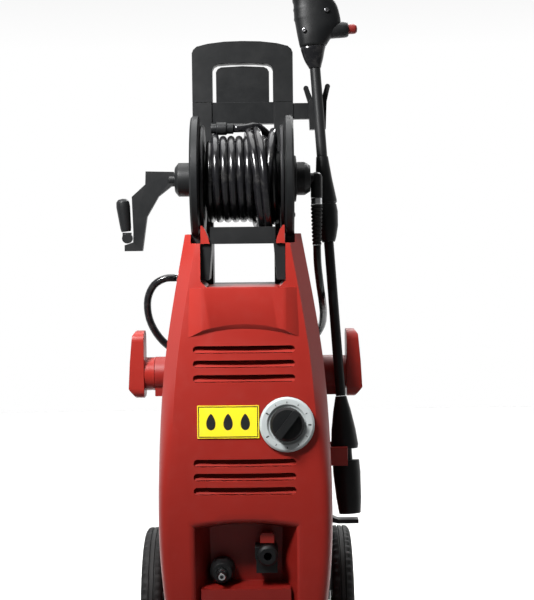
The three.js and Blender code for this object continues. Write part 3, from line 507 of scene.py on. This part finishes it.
def screw_heads(name, body, heads):
    """Pan-head screws with six-lobed recesses, one mesh for each body; heads are (place, outward)."""
    r, h = SCREW_RADIUS, SCREW_HEIGHT
    profile = [(0, -h), (r, -h), (r, 0.45 * h), (0.86 * r, 0.85 * h), (0.62 * r, h), (0.46 * r, h),
               (0.42 * r, 0.1 * h), (0, 0.05 * h)]

    def lobed(a, radius, along):
        return radius * (1 + 0.16 * math.cos(6 * a)) if 0 < radius < 0.5 * r else radius
    points, faces = joined(turned_mesh(profile, place, outward, 24, lobed) for place, outward in heads)
    piece = mesh_piece(name, points, faces, body, "bright_steel")
    sharp_edges(piece)
    piece.data.materials.append(MATERIALS["dark_steel"])


def landed(tree, start, direction, lift=0):
    """Where a ray meets a surface, lifted off it, and the surface's normal there."""
    place, normal, _, _ = tree.ray_cast(Vector(start), Vector(direction))
    return place + normal * lift, normal


PLATE_SCREWS = 5  # on each side plate of the reel
PLATE_SCREW_CIRCLE = 0.05
REAR_SCREWS = [(x, z) for x in (-0.078, 0.078) for z in (0.1, 0.25, 0.44, 0.535)]
RAIL_SCREWS = [(x, z) for x in (-0.059, 0.059) for z in (0.585, 0.7)]
GUN_SCREWS = ((-0.012, 0.606), (0.022, 0.632), (-0.006, 0.690), (0.034, 0.758))


def make_screws():
    """Screws of the side plates, the rear cover, the rails and the gun's shell."""
    heads = []
    for side in (-1, 1):
        tree = surface("reel_side_plate_right" if side > 0 else "reel_side_plate_left")
        for k in range(PLATE_SCREWS):
            a = 2 * math.pi * (k + 0.5) / PLATE_SCREWS
            start = REEL_CENTRE + Vector((side * 0.2, PLATE_SCREW_CIRCLE * math.sin(a),
                                          PLATE_SCREW_CIRCLE * math.cos(a)))
            heads.append(landed(tree, start, (-side, 0, 0), 0.4 * SCREW_HEIGHT))
    for node, places in (("rear_cover", REAR_SCREWS), ("upper_frame", RAIL_SCREWS)):
        tree = surface(node)
        heads += [landed(tree, (x, 0.3, z), (0, -1, 0), 0.4 * SCREW_HEIGHT) for x, z in places]
    screw_heads("cover_screws", "washer", heads)
    gun = surface("gun_body")
    heads = [landed(gun, lance_place(x, -0.1, z), LANCE_TURN @ Vector((0, 1, 0)), 0.35 * SCREW_HEIGHT)
             for x, z in GUN_SCREWS]
    screw_heads("gun_screws", "lance", heads)


# ---- wheels -----------------------------------------------------------------------------------------
TYRE_SEGMENTS = 180
TREAD_BLOCKS = 60
TREAD_DEPTH = 2.2 * MM
TYRE_HEIGHT = 30.7 * MM  # from the rim to the tread


def make_tyre(side):
    """A tyre with ribbed walls, two grooves and blocks on its shoulders."""
    node = f"tyre_{side}"
    low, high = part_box(node)
    centre = (low + high) / 2
    outer = (high.z - low.z) / 2
    half = (high.x - low.x) / 2
    bead = outer - TYRE_HEIGHT
    wall = [(bead, 0.80), (bead + 4 * MM, 0.90), (bead + 9 * MM, 0.97), (bead + 12 * MM, 0.93),
            (bead + 14 * MM, 0.97), (bead + 19 * MM, 1.0), (bead + 24 * MM, 0.94), (outer - 4 * MM, 0.86)]
    crown = [(outer - 1.4 * MM, 0.72), (outer - 0.4 * MM, 0.60), (outer, 0.44), (outer, 0.30),
             (outer - 2.4 * MM, 0.26), (outer - 2.4 * MM, 0.18), (outer, 0.14)]
    right = [(r, share * half) for r, share in wall + crown]
    profile = right + [(r, -t) for r, t in reversed(right)]
    profile.append(profile[0])

    def tread(a, r, t):
        block = (a * TREAD_BLOCKS / (2 * math.pi) + (0.5 if t > 0 else 0)) % 1
        shoulder = 0.42 * half < abs(t) < 0.9 * half and r > outer - 5 * MM
        return r - TREAD_DEPTH if shoulder and block < 0.34 else r
    points, faces = turned_mesh(profile, centre, (1, 0, 0), TYRE_SEGMENTS, tread)
    tyre = mesh_piece(f"treaded_tyre_{side}", points, faces, f"wheel_{side}", "black_rubber")
    sharp_edges(tyre, 40)
    tyre.data.materials.append(MATERIALS["black_rubber"])
    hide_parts(node)


def make_hub_cap(side):
    """A red cap over the axle's end."""
    low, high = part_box(f"rim_{side}")
    sign = 1 if side == "right" else -1
    face = high.x - 4 * MM if side == "right" else low.x + 4 * MM
    centre = (face, (low.y + high.y) / 2, (low.z + high.z) / 2)
    profile = [(0, -2), (18, -2), (18, 1.4), (15.5, 3), (12, 3.4), (11.4, 2.6), (4, 2.9), (0, 3.1)]
    points, faces = turned_mesh([(r * MM, t * MM) for r, t in profile], centre, (sign, 0, 0), 40)
    cap = mesh_piece(f"hub_cap_{side}", points, faces, f"wheel_{side}", "dark_red_plastic")
    sharp_edges(cap, 40)
    cap.data.materials.append(MATERIALS["dark_red_plastic"])


# ---- spray gun, in the lance's own frame --------------------------------------------------------------
TWIST = next(j for j in frame["record"]["behaviour"]["joints"] if j["name"] == "nozzle_twist")
LANCE_ORIGIN = Vector(TWIST["pos_m"])
LANCE_UP = Vector(TWIST["axis"]).normalized()
LANCE_SIDE = (Vector((1, 0, 0)) - LANCE_UP * LANCE_UP.x).normalized()
LANCE_TURN = Matrix((LANCE_SIDE, LANCE_UP.cross(LANCE_SIDE), LANCE_UP)).transposed()


def lance_place(x, y, z):
    return LANCE_ORIGIN + LANCE_TURN @ Vector((x, y, z))


# (place along the lance, centre, half width, half depth) in millimetres
GUN_STATIONS = [(553.3, 0, 8.2, 8.2), (566, -1, 13.5, 11), (584, -0.5, 18.5, 14), (600, 4, 25.5, 16.5),
                (614, 9, 32, 17.5), (630, 8.3, 32.7, 18), (646, 6.5, 30.5, 18), (660, 2, 26.5, 17.5),
                (680, 4, 23, 17), (705, 11, 21, 17), (735, 23, 20, 17), (765, 38, 19.5, 17),
                (782, 47, 19, 16.5), (790, 50, 14, 12)]
GRIP_RIBS = (653, 640, 626)
RIB_WIDTH = 1.8
RIB_HEIGHT = 0.9
GUN_SIDES = 36
GUN_SQUARENESS = 0.82  # 1 is an ellipse, less is squarer
INLET_HEIGHT = 606.5
TRIGGER_SLOT = (22, 70, -5.6, 5.6, 652, 760)
LOCK_PLACE = (14, 676)  # across and along the lance
LOCK_BORE = 4.7


def gun_part(name, heights, look):
    """A closed stretch of the gun's skin; heights are (place along the lance, how far it is drawn in)."""
    points = []
    for z, shrink in heights:
        centre, half_x, half_y = on_table(GUN_STATIONS, z)
        for k in range(GUN_SIDES):
            a = 2 * math.pi * k / GUN_SIDES
            c, s = math.cos(a), math.sin(a)
            rib = sum(math.exp(-((z - place) / RIB_WIDTH) ** 2) for place in GRIP_RIBS) * max(0, -c)
            x = centre + (half_x - shrink + RIB_HEIGHT * rib) * math.copysign(abs(c) ** GUN_SQUARENESS, c)
            y = (half_y - shrink) * math.copysign(abs(s) ** GUN_SQUARENESS, s)
            points.append(lance_place(x * MM, y * MM, z * MM))
    part = mesh_piece(name, points, skin_faces(len(heights), GUN_SIDES))
    part.data.materials.append(MATERIALS[look])
    return part


def lance_box(x0, x1, y0, y1, z0, z1):
    """A box square to the lance, in millimetres."""
    corners = [(x, y, z) for x in (x0, x1) for y in (y0, y1) for z in (z0, z1)]
    points = [lance_place(x * MM, y * MM, z * MM) for x, y, z in corners]
    return points, [(0, 1, 3, 2), (4, 6, 7, 5), (0, 4, 5, 1), (2, 3, 7, 6), (0, 2, 6, 4), (1, 5, 7, 3)]


def carve(piece, cutters):
    """Cuts closed meshes out of a piece."""
    for number, (points, faces) in enumerate(cutters):
        cutter = mesh_piece(f"cutter_{number}", points, faces, smooth=False)
        step = piece.modifiers.new("carve", "BOOLEAN")
        step.object = cutter
        step.solver = "EXACT"
        depsgraph = bpy.context.evaluated_depsgraph_get()
        carved = bpy.data.meshes.new_from_object(piece.evaluated_get(depsgraph))
        piece.modifiers.remove(step)
        piece.data = carved
        bpy.data.objects.remove(cutter)


def make_gun():
    """The gun's nose, its shell with the trigger's slot and the lock's bore, and the inlet's boss."""
    nose = [(553.3, 0), (554.3, -0.4)] + [(556 + 3 * k, 0) for k in range(9)] + [(583, 0.1), (584.1, 0.9)]
    shell = [(585, 0.9), (586, 0)] + [(588 + 2 * k, 0) for k in range(97)]
    shell += [(783, 0.3), (787, 0.8), (790, 2)]
    nose_piece = gun_part("gun_nose", nose, "gloss_hose")
    shell_piece = gun_part("gun_shell", shell, "black_plastic")
    across, along = LOCK_PLACE
    lock = turned_mesh([(r * MM, t * MM) for r, t in ((0, -30), (LOCK_BORE, -30), (LOCK_BORE, 30), (0, 30))],
                       lance_place(across * MM, 0, along * MM), LANCE_TURN @ Vector((0, 1, 0)), 24)
    carve(shell_piece, [lance_box(*TRIGGER_SLOT), lock])
    boss_profile = [(0, 18), (11.5, 18), (11.5, 45), (11, 49.5), (9.4, 51.5), (7.4, 51.5), (7.4, 38.2),
                    (0, 38.2)]
    points, faces = turned_mesh([(r * MM, t * MM) for r, t in boss_profile],
                                lance_place(0, 0, INLET_HEIGHT * MM), LANCE_SIDE, 36)
    boss = mesh_piece("gun_inlet_boss", points, faces)
    boss.data.materials.append(MATERIALS["black_plastic"])
    for piece in (nose_piece, shell_piece, boss):
        sharp_edges(piece, 40)
        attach(piece, "lance")
    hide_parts("gun_body")


# ---- strain relief of the leader hose -------------------------------------------------------------------
RELIEF_RINGS = 9


def make_strain_relief():
    """A tapered relief with ribs, below the swivel."""
    low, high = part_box("hose_strain_relief")
    centre = (low + high) / 2
    length = high.z - low.z
    profile = [(0, 0), (8 * MM, 0), (8 * MM, 3 * MM)]
    step = (length - 8 * MM) / RELIEF_RINGS
    for k in range(RELIEF_RINGS):
        start = 4 * MM + (length - 8 * MM) * k / RELIEF_RINGS
        wide = (8.1 - 1.5 * k / RELIEF_RINGS) * MM
        profile += [(wide - 1.5 * MM, start), (wide, start + 0.25 * step), (wide, start + 0.7 * step),
                    (wide - 1.5 * MM, start + 0.9 * step)]
    profile += [(6.3 * MM, length - 3 * MM), (6.1 * MM, length), (0, length)]
    points, faces = turned_mesh(profile, (centre.x, centre.y, high.z), (0, 0, -1), 28)
    relief = mesh_piece("ribbed_relief", points, faces, "washer", "black_rubber")
    sharp_edges(relief, 50)
    relief.data.materials.append(MATERIALS["black_rubber"])
    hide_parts("hose_strain_relief")


# ---- front cover: a smooth skin over the CAD cover's own shape ----------------------------------------
# (height, half width) in millimetres
BODY_SIDE = [(45, 91), (110, 101), (170, 109.5), (230, 115.6), (295, 117.6), (392, 115.2), (482, 108.8),
             (555, 98.8), (664, 79.5)]
BODY_BOTTOM, BODY_TOP = BODY_SIDE[0][0], BODY_SIDE[-1][0]
SEAM_Y = 30
WALL = 4
FRONT_Y_LOW = -144.8  # the front face at the body's bottom
FRONT_LEAN = 0.12
FRONT_CROWN = 5
SIDE_BEVEL = 18
SIDE_BEVEL_DEPTH = 26
ROUND_BELOW = 470  # the bevel turns into a round corner from this height down
ROUND_OVER = 150
BEVEL_STEPS = 8
FRONT_STEPS = 9
SIDE_STEPS = 4
SKIN_LEVELS = 62
CAVITY_LEVELS = 24
CAVITY_TOP = 588
CUT_FRONT, CUT_BACK = -200, SEAM_Y + 5  # the cutters reach past the skin in front and behind,
LEG_TOP = 700  # and past the top of the legs
LEG_INNER = 57.6
LEG_GAP_BOTTOM = 593
LEG_GAP_CORNER = 8
PLATE_SLOTS = (57, -70.9)  # left edges of the slots for the reel's side plates
PLATE_SLOT_WIDTH = 13.9
PLATE_SLOT_STEPS = ((CUT_FRONT, 652), (-45, 638))  # front and bottom of a slot's two steps
VENT_HEIGHTS = (509.5, 490.3, 471, 359, 340.5, 322)
VENT_HALF_WIDTH = 68.5
VENT_HALF_HEIGHT = 5
SLAT_SECTION = ((0, -4.1), (1.6, -4.6), (9, 0.8), (9, 2.6), (7.5, 2.6))  # inwards and up
GUSSET_OUTLINE = ((44.6, 651.6), (47, 661), (50.6, 670), (54.5, 676), (56.9, 676), (56.9, 652), (60, 652),
                  (60, 648), (57.7, 648), (57.7, 651.6))
GUSSET_DEPTH = (-66, -46)
KNOB_PLACE = (57, 409.5)
KNOB_SEAT_DEPTH = 1.2
# (radius, inner end, outer end) of the bezel's seat and of the hole behind it
KNOB_BORES = ((37.4, -2.6, 40), (19, -30, 10))
# (half width at the top, half width at the bottom, bottom, top corners, rise of the arch)
RECESS_MOUTH = (79.5, 71, 118, 279, 8)
RECESS_BACK = (50, 47, 150, 264, 5)
RECESS_MOUTH_Y = -140
RECESS_BACK_Y = -64
RECESS_FLAT = 97  # half width over which the front's crown is measured
# (depth behind the front face, how far the opening has grown) down the rounded lip
RECESS_LIP = ((-12, 12), (-0.6, 7), (0.4, 4), (1.6, 1.9), (3.2, 0.6), (5, 0.2))
ARCH_SHARES = [k / 12 - 1 for k in range(25)]
# rings of the raised panel, from its foot to its face:
# (half width, half width at the top, middle of the lower edge, drop of its ends, how far out)
PANEL_RINGS = ((78, 74, 534.5, 12.5, -2), (75.5, 71, 537.3, 12, 0), (58, 58, 543.3, 9.5, 4.2),
               (57, 57, 544.3, 9.5, 4.6))
PANEL_TOP = 592
PANEL_FLAT = 82  # half width over which the panel's crown is measured


def front_y(z):
    """The front face's place at a height, on the middle line."""
    return FRONT_Y_LOW + FRONT_LEAN * (z - BODY_BOTTOM)


def front_outline(z, inset):
    """A level section of the front cover, from the right seam round the front to the left seam."""
    edge = on_table(BODY_SIDE, z)[0] - inset
    flat = edge - SIDE_BEVEL
    front = front_y(z) + inset
    corner = front + FRONT_CROWN
    side = corner + SIDE_BEVEL_DEPTH
    roundness = min(max((ROUND_BELOW - z) / ROUND_OVER, 0), 1)
    middle = (edge - SIDE_BEVEL / 2 * (1 - roundness), corner + SIDE_BEVEL_DEPTH / 2 * (1 - roundness))
    back = SEAM_Y if inset == 0 else SEAM_Y + 6
    half = [(edge, back + (side - back) * k / SIDE_STEPS) for k in range(SIDE_STEPS)]
    for k in range(BEVEL_STEPS + 1):
        t = k / BEVEL_STEPS
        half.append(tuple((1 - t) ** 2 * a + 2 * t * (1 - t) * b + t * t * c
                          for a, b, c in zip((edge, side), middle, (flat, corner))))
    half += [(flat * s / FRONT_STEPS, front + FRONT_CROWN * (s / FRONT_STEPS) ** 2)
             for s in range(FRONT_STEPS - 1, 0, -1)]
    return [*half, (0, front), *[(-x, y) for x, y in reversed(half)]]


def loft_mesh(rings):
    """A closed skin through rings of the same number of points."""
    points = [Vector(p) * MM for ring in rings for p in ring]
    return points, skin_faces(len(rings), len(rings[0]))


def body_loft(low, high, inset, levels):
    """The front half of the body between two heights, drawn in by inset."""
    heights = [low + (high - low) * k / levels for k in range(levels + 1)]
    return loft_mesh([[(x, y, z) for x, y in front_outline(z, inset)] for z in heights])


def rounded_bar(z, half_width, half_height, y0, y1, steps=8):
    """A cutter for a long slot with round ends, along Y."""
    outline = []
    for side in (1, -1):
        for k in range(steps + 1):
            a = math.pi * (k / steps - 0.5)
            outline.append((side * (half_width - half_height + half_height * math.cos(a)),
                            z + side * half_height * math.sin(a)))
    return loft_mesh([[(x, y, z) for x, z in outline] for y in (y0, y1)])


def box_mesh(x0, x1, y0, y1, z0, z1):
    """A box square to the axes."""
    return loft_mesh([[(x0, y0, z), (x1, y0, z), (x1, y1, z), (x0, y1, z)] for z in (z0, z1)])


def recess_outline(depth_share, grow):
    """Outline of the recess, from its mouth (0) to its back (1): sloping sides and an arched top."""
    half_top, half_bottom, bottom, corner, rise = (
        a + (b - a) * depth_share for a, b in zip(RECESS_MOUTH, RECESS_BACK))
    top = [(s * (half_top + grow), corner + grow + rise * (1 - s * s)) for s in ARCH_SHARES]
    return [(half_bottom + grow, bottom - grow), (-half_bottom - grow, bottom - grow), *top]


def recess_ring(depth, grow):
    """The recess's outline where it meets a skin that lies depth behind the front face."""
    ring = []
    for k in range(len(ARCH_SHARES) + 2):
        x, z = 0, 200
        for _ in range(8):
            y = front_y(z) + FRONT_CROWN * (x / RECESS_FLAT) ** 2 + depth
            x, z = recess_outline((y - RECESS_MOUTH_Y) / (RECESS_BACK_Y - RECESS_MOUTH_Y), grow)[k]
        ring.append((x, y, z))
    return ring


def recess_cutter():
    """The connector recess, with a rounded lip where it meets the leaning front."""
    rings = [recess_ring(depth, grow) for depth, grow in RECESS_LIP]
    rings.append([(x, RECESS_BACK_Y, z) for x, z in recess_outline(1, 0.2)])
    return loft_mesh(rings)


def knob_cutters():
    """Cutters for the bezel's seat and for the hole behind it."""
    x, z = KNOB_PLACE
    centre = Vector((x, front_y(z) + KNOB_SEAT_DEPTH, z)) * MM
    outward = (0, -1, FRONT_LEAN)
    return [turned_mesh([(0, a * MM), (r * MM, a * MM), (r * MM, b * MM), (0, b * MM)], centre, outward, 64)
            for r, a, b in KNOB_BORES]


def finish_red(piece):
    """Red plastic that rides on the washer."""
    sharp_edges(piece, 28)
    piece.data.materials.clear()
    piece.data.materials.append(MATERIALS["red_plastic"])
    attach(piece, "washer")


def leg_cutters():
    """Cutters for the gap between the legs and for the slots of the reel's side plates."""
    right = [(LEG_INNER - LEG_GAP_CORNER, LEG_GAP_BOTTOM), (LEG_INNER, LEG_GAP_BOTTOM + LEG_GAP_CORNER),
             (LEG_INNER, LEG_TOP)]
    outline = [(-x, z) for x, z in reversed(right)] + right
    gap = loft_mesh([[(x, y, z) for x, z in outline] for y in (CUT_FRONT, CUT_BACK)])
    slots = [box_mesh(x, x + PLATE_SLOT_WIDTH, y, CUT_BACK, bottom, LEG_TOP)
             for x in PLATE_SLOTS for y, bottom in PLATE_SLOT_STEPS]
    return gap, slots


def make_cover_skin():
    points, faces = body_loft(BODY_BOTTOM, BODY_TOP, 0, SKIN_LEVELS)
    cover = mesh_piece("front_cover_skin", points, faces)
    gap, slots = leg_cutters()
    vents = [rounded_bar(z, VENT_HALF_WIDTH, VENT_HALF_HEIGHT, front_y(z) - 20, front_y(z) + 30)
             for z in VENT_HEIGHTS]
    cavity = body_loft(BODY_BOTTOM - 5, CAVITY_TOP, WALL, CAVITY_LEVELS)
    carve(cover, [cavity, gap, recess_cutter(), *knob_cutters(), *slots, *vents])
    finish_red(cover)
    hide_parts("front_cover")


def make_raised_panel():
    """The panel over the vents, with two side facets and a chamfered arch below."""
    rings = []
    for half, top_half, middle, drop, out in PANEL_RINGS:
        low = [(s * half, middle - drop * s * s) for s in ARCH_SHARES]
        high = [(s * top_half, PANEL_TOP) for s in reversed(ARCH_SHARES)]
        rings.append([(x, front_y(z) + FRONT_CROWN * (x / PANEL_FLAT) ** 2 - out, z) for x, z in low + high])
    finish_red(mesh_piece("raised_panel", *loft_mesh(rings)))


def make_vent_slats():
    """A slat behind each vent, sloping up towards the inside."""
    half = VENT_HALF_WIDTH + 4
    slats = []
    for z in VENT_HEIGHTS:
        y = front_y(z) + WALL - 0.5
        slats.append(loft_mesh([[(x, y + inwards, z + up) for inwards, up in SLAT_SECTION]
                                for x in (-half, half)]))
    finish_red(mesh_piece("vent_slats", *joined(slats), smooth=False))


def make_gussets():
    """The small red fins inside the legs' tops."""
    fins = [loft_mesh([[(side * x, y, z) for x, z in GUSSET_OUTLINE] for y in GUSSET_DEPTH])
            for side in (1, -1)]
    finish_red(mesh_piece("leg_gussets", *joined(fins)))


make_cover_skin()
make_raised_panel()
make_vent_slats()
make_gussets()
label_marks()
dial_marks()
make_screws()
for wheel_side in ("left", "right"):
    make_tyre(wheel_side)
    make_hub_cap(wheel_side)
make_gun()
make_strain_relief()


# ---- CAD nodes: welded, softly bevelled, with their finish ------------------------------------------
def geometry_group(name):
    """An empty geometry node group with its input and output nodes."""
    group = bpy.data.node_groups.new(name, "GeometryNodeTree")
    group.interface.new_socket("Geometry", in_out="INPUT", socket_type="NodeSocketGeometry")
    group.interface.new_socket("Geometry", in_out="OUTPUT", socket_type="NodeSocketGeometry")
    return group, group.nodes.new("NodeGroupInput").outputs[0], group.nodes.new("NodeGroupOutput").inputs[0]


def welding_group():
    """Welds a shell whose triangles come apart."""
    group, geometry, end = geometry_group("weld_shell")
    bare = group.nodes.new("GeometryNodeRemoveAttribute")
    bare.inputs["Name"].default_value = "custom_normal"
    weld = group.nodes.new("GeometryNodeMergeByDistance")
    weld.inputs["Distance"].default_value = 1e-6
    group.links.new(geometry, bare.inputs["Geometry"])
    group.links.new(bare.outputs["Geometry"], weld.inputs["Geometry"])
    group.links.new(weld.outputs["Geometry"], end)
    return group


def shading_group(degrees):
    """Shades smooth, but for edges sharper than an angle."""
    group, geometry, end = geometry_group(f"sharp_over_{degrees}")
    faces = group.nodes.new("GeometryNodeSetShadeSmooth")
    faces.domain = "FACE"
    edges = group.nodes.new("GeometryNodeSetShadeSmooth")
    edges.domain = "EDGE"
    edges.inputs["Shade Smooth"].default_value = False
    angle = group.nodes.new("GeometryNodeInputMeshEdgeAngle")
    over = group.nodes.new("FunctionNodeCompare")
    over.operation = "GREATER_THAN"
    over.inputs[1].default_value = math.radians(degrees)
    group.links.new(angle.outputs["Unsigned Angle"], over.inputs[0])
    group.links.new(over.outputs["Result"], edges.inputs["Selection"])
    group.links.new(geometry, faces.inputs["Geometry"])
    group.links.new(faces.outputs["Geometry"], edges.inputs["Geometry"])
    group.links.new(edges.outputs["Geometry"], end)
    return group


WELD = welding_group()
SHARP_ANGLE = 38  # degrees
SHADE = shading_group(SHARP_ANGLE)
FLATTEN_ANGLE = math.radians(0.6)  # faces this close to one plane become one
BEVEL_ANGLE = math.radians(32)
EDGE_WIDTH = 0.7  # millimetres, where EDGE_WIDTHS doesn't say
EDGE_WIDTHS = {"rear_cover": 1.2, "handle_loop": 1.6, "upper_frame": 1.2, "label_plate": 0.1,
               "trigger_lock": 0.5, "inlet_nipple": 0.2, "hose_ferrule": 0.2}


def soften(piece, width):
    """Welds a CAD node's mesh and gives its edges a small round."""
    weld = piece.modifiers.new("weld", "NODES")
    weld.node_group = WELD
    flat = piece.modifiers.new("flatten", "DECIMATE")
    flat.decimate_type = "DISSOLVE"
    flat.angle_limit = FLATTEN_ANGLE
    bevel = piece.modifiers.new("soft_edges", "BEVEL")
    bevel.width = width
    bevel.segments = 2
    bevel.limit_method = "ANGLE"
    bevel.angle_limit = BEVEL_ANGLE
    bevel.miter_outer = "MITER_ARC"
    shade = piece.modifiers.new("shade", "NODES")
    shade.node_group = SHADE
    normals = piece.modifiers.new("normals", "WEIGHTED_NORMAL")
    normals.keep_sharp = True


def finish_cad_nodes():
    """Gives each CAD node its material, and those that are seen their soft edges."""
    for node, piece in frame["nodes"].items():
        for slot in piece.material_slots:
            slot.material = MATERIALS[slot.material.name.split(".")[0]]
        if not piece.hide_render:
            soften(piece, EDGE_WIDTHS.get(node, EDGE_WIDTH) * MM)


finish_cad_nodes()
WINDING.data.materials.append(MATERIALS["gloss_hose"])
LEADER.data.materials.append(MATERIALS["gloss_hose"])


# ---- floor and light ------------------------------------------------------------------------------
FLOOR_HALF = 3.2
FLOOR_FRONT = (0.30, 0.30, 0.30)  # darker, so that little light comes up from it
FLOOR_BACK = ((0.95, 0.95, 0.95), (0.97, 0.97, 0.97))
FLOOR_CHANGE = (0.05, 0.55)  # where the floor turns pale, along Y
HORIZON = (0.12, 0.45, 1.0, 0.42)  # heights in the sky, and its strength at each
FRONT_TO_BACK = (-0.3, 0.35, 0.12, 1.0)  # the same along Y: dim in front, bright behind


def make_floor():
    """A floor that is dark in front of the washer and pale behind it."""
    mesh = bpy.data.meshes.new("floor")
    corners = [(x * FLOOR_HALF, y * FLOOR_HALF, 0) for x, y in ((-1, -1), (1, -1), (1, 1), (-1, 1))]
    mesh.from_pydata(corners, [], [(0, 1, 2, 3)])
    floor = new_object("floor", mesh)
    material, nodes, links, shader = node_material("floor_look")
    place = nodes.new("ShaderNodeTexCoord").outputs["Object"]
    along = nodes.new("ShaderNodeSeparateXYZ")
    links.new(place, along.inputs[0])
    front_to_back = ramp_node(nodes, links, along.outputs["Y"], *FLOOR_CHANGE, 0, 1)
    far = mix_colour(nodes, links, noise_node(nodes, links, place, 3), *FLOOR_BACK)
    links.new(mix_colour(nodes, links, front_to_back, FLOOR_FRONT, far), shader.inputs["Base Color"])
    shader.inputs["Roughness"].default_value = 0.85
    mesh.materials.append(material)


def make_sky():
    """White light from behind, with a dim front so that the lamps shape the object."""
    world = bpy.data.worlds.new("studio")
    world.use_nodes = True
    nodes, links = world.node_tree.nodes, world.node_tree.links
    direction = nodes.new("ShaderNodeSeparateXYZ")
    links.new(nodes.new("ShaderNodeTexCoord").outputs["Generated"], direction.inputs[0])
    level = ramp_node(nodes, links, direction.outputs["Z"], *HORIZON)
    behind = ramp_node(nodes, links, direction.outputs["Y"], *FRONT_TO_BACK)
    strength = nodes.new("ShaderNodeMath")
    strength.operation = "MULTIPLY"
    links.new(level, strength.inputs[0])
    links.new(behind, strength.inputs[1])
    links.new(strength.outputs[0], nodes["Background"].inputs["Strength"])
    nodes["Background"].inputs["Color"].default_value = (1, 1, 1, 1)
    bpy.context.scene.world = world
    bpy.context.scene.view_settings.view_transform = "Standard"


def area_light(name, place, aim, size, power, spread):
    """A round lamp: metres, watts and degrees."""
    data = bpy.data.lights.new(name, "AREA")
    data.shape = "DISK"
    data.size = size
    data.energy = power
    data.spread = math.radians(spread)
    lamp = new_object(name, data)
    lamp.location = place
    lamp.rotation_euler = (Vector(aim) - Vector(place)).to_track_quat("-Z", "Y").to_euler()


make_floor()
make_sky()
area_light("overhead", (0, 1.6, 5), (0, 1.6, 0), 6, 310, 180)
area_light("key", (-0.66, -0.85, 1.6), (-0.10, -0.05, 0.76), 0.45, 5.2, 46)
area_light("back", (0.8, 2.2, 2.2), (0, 0, 0.7), 1.2, 8, 80)
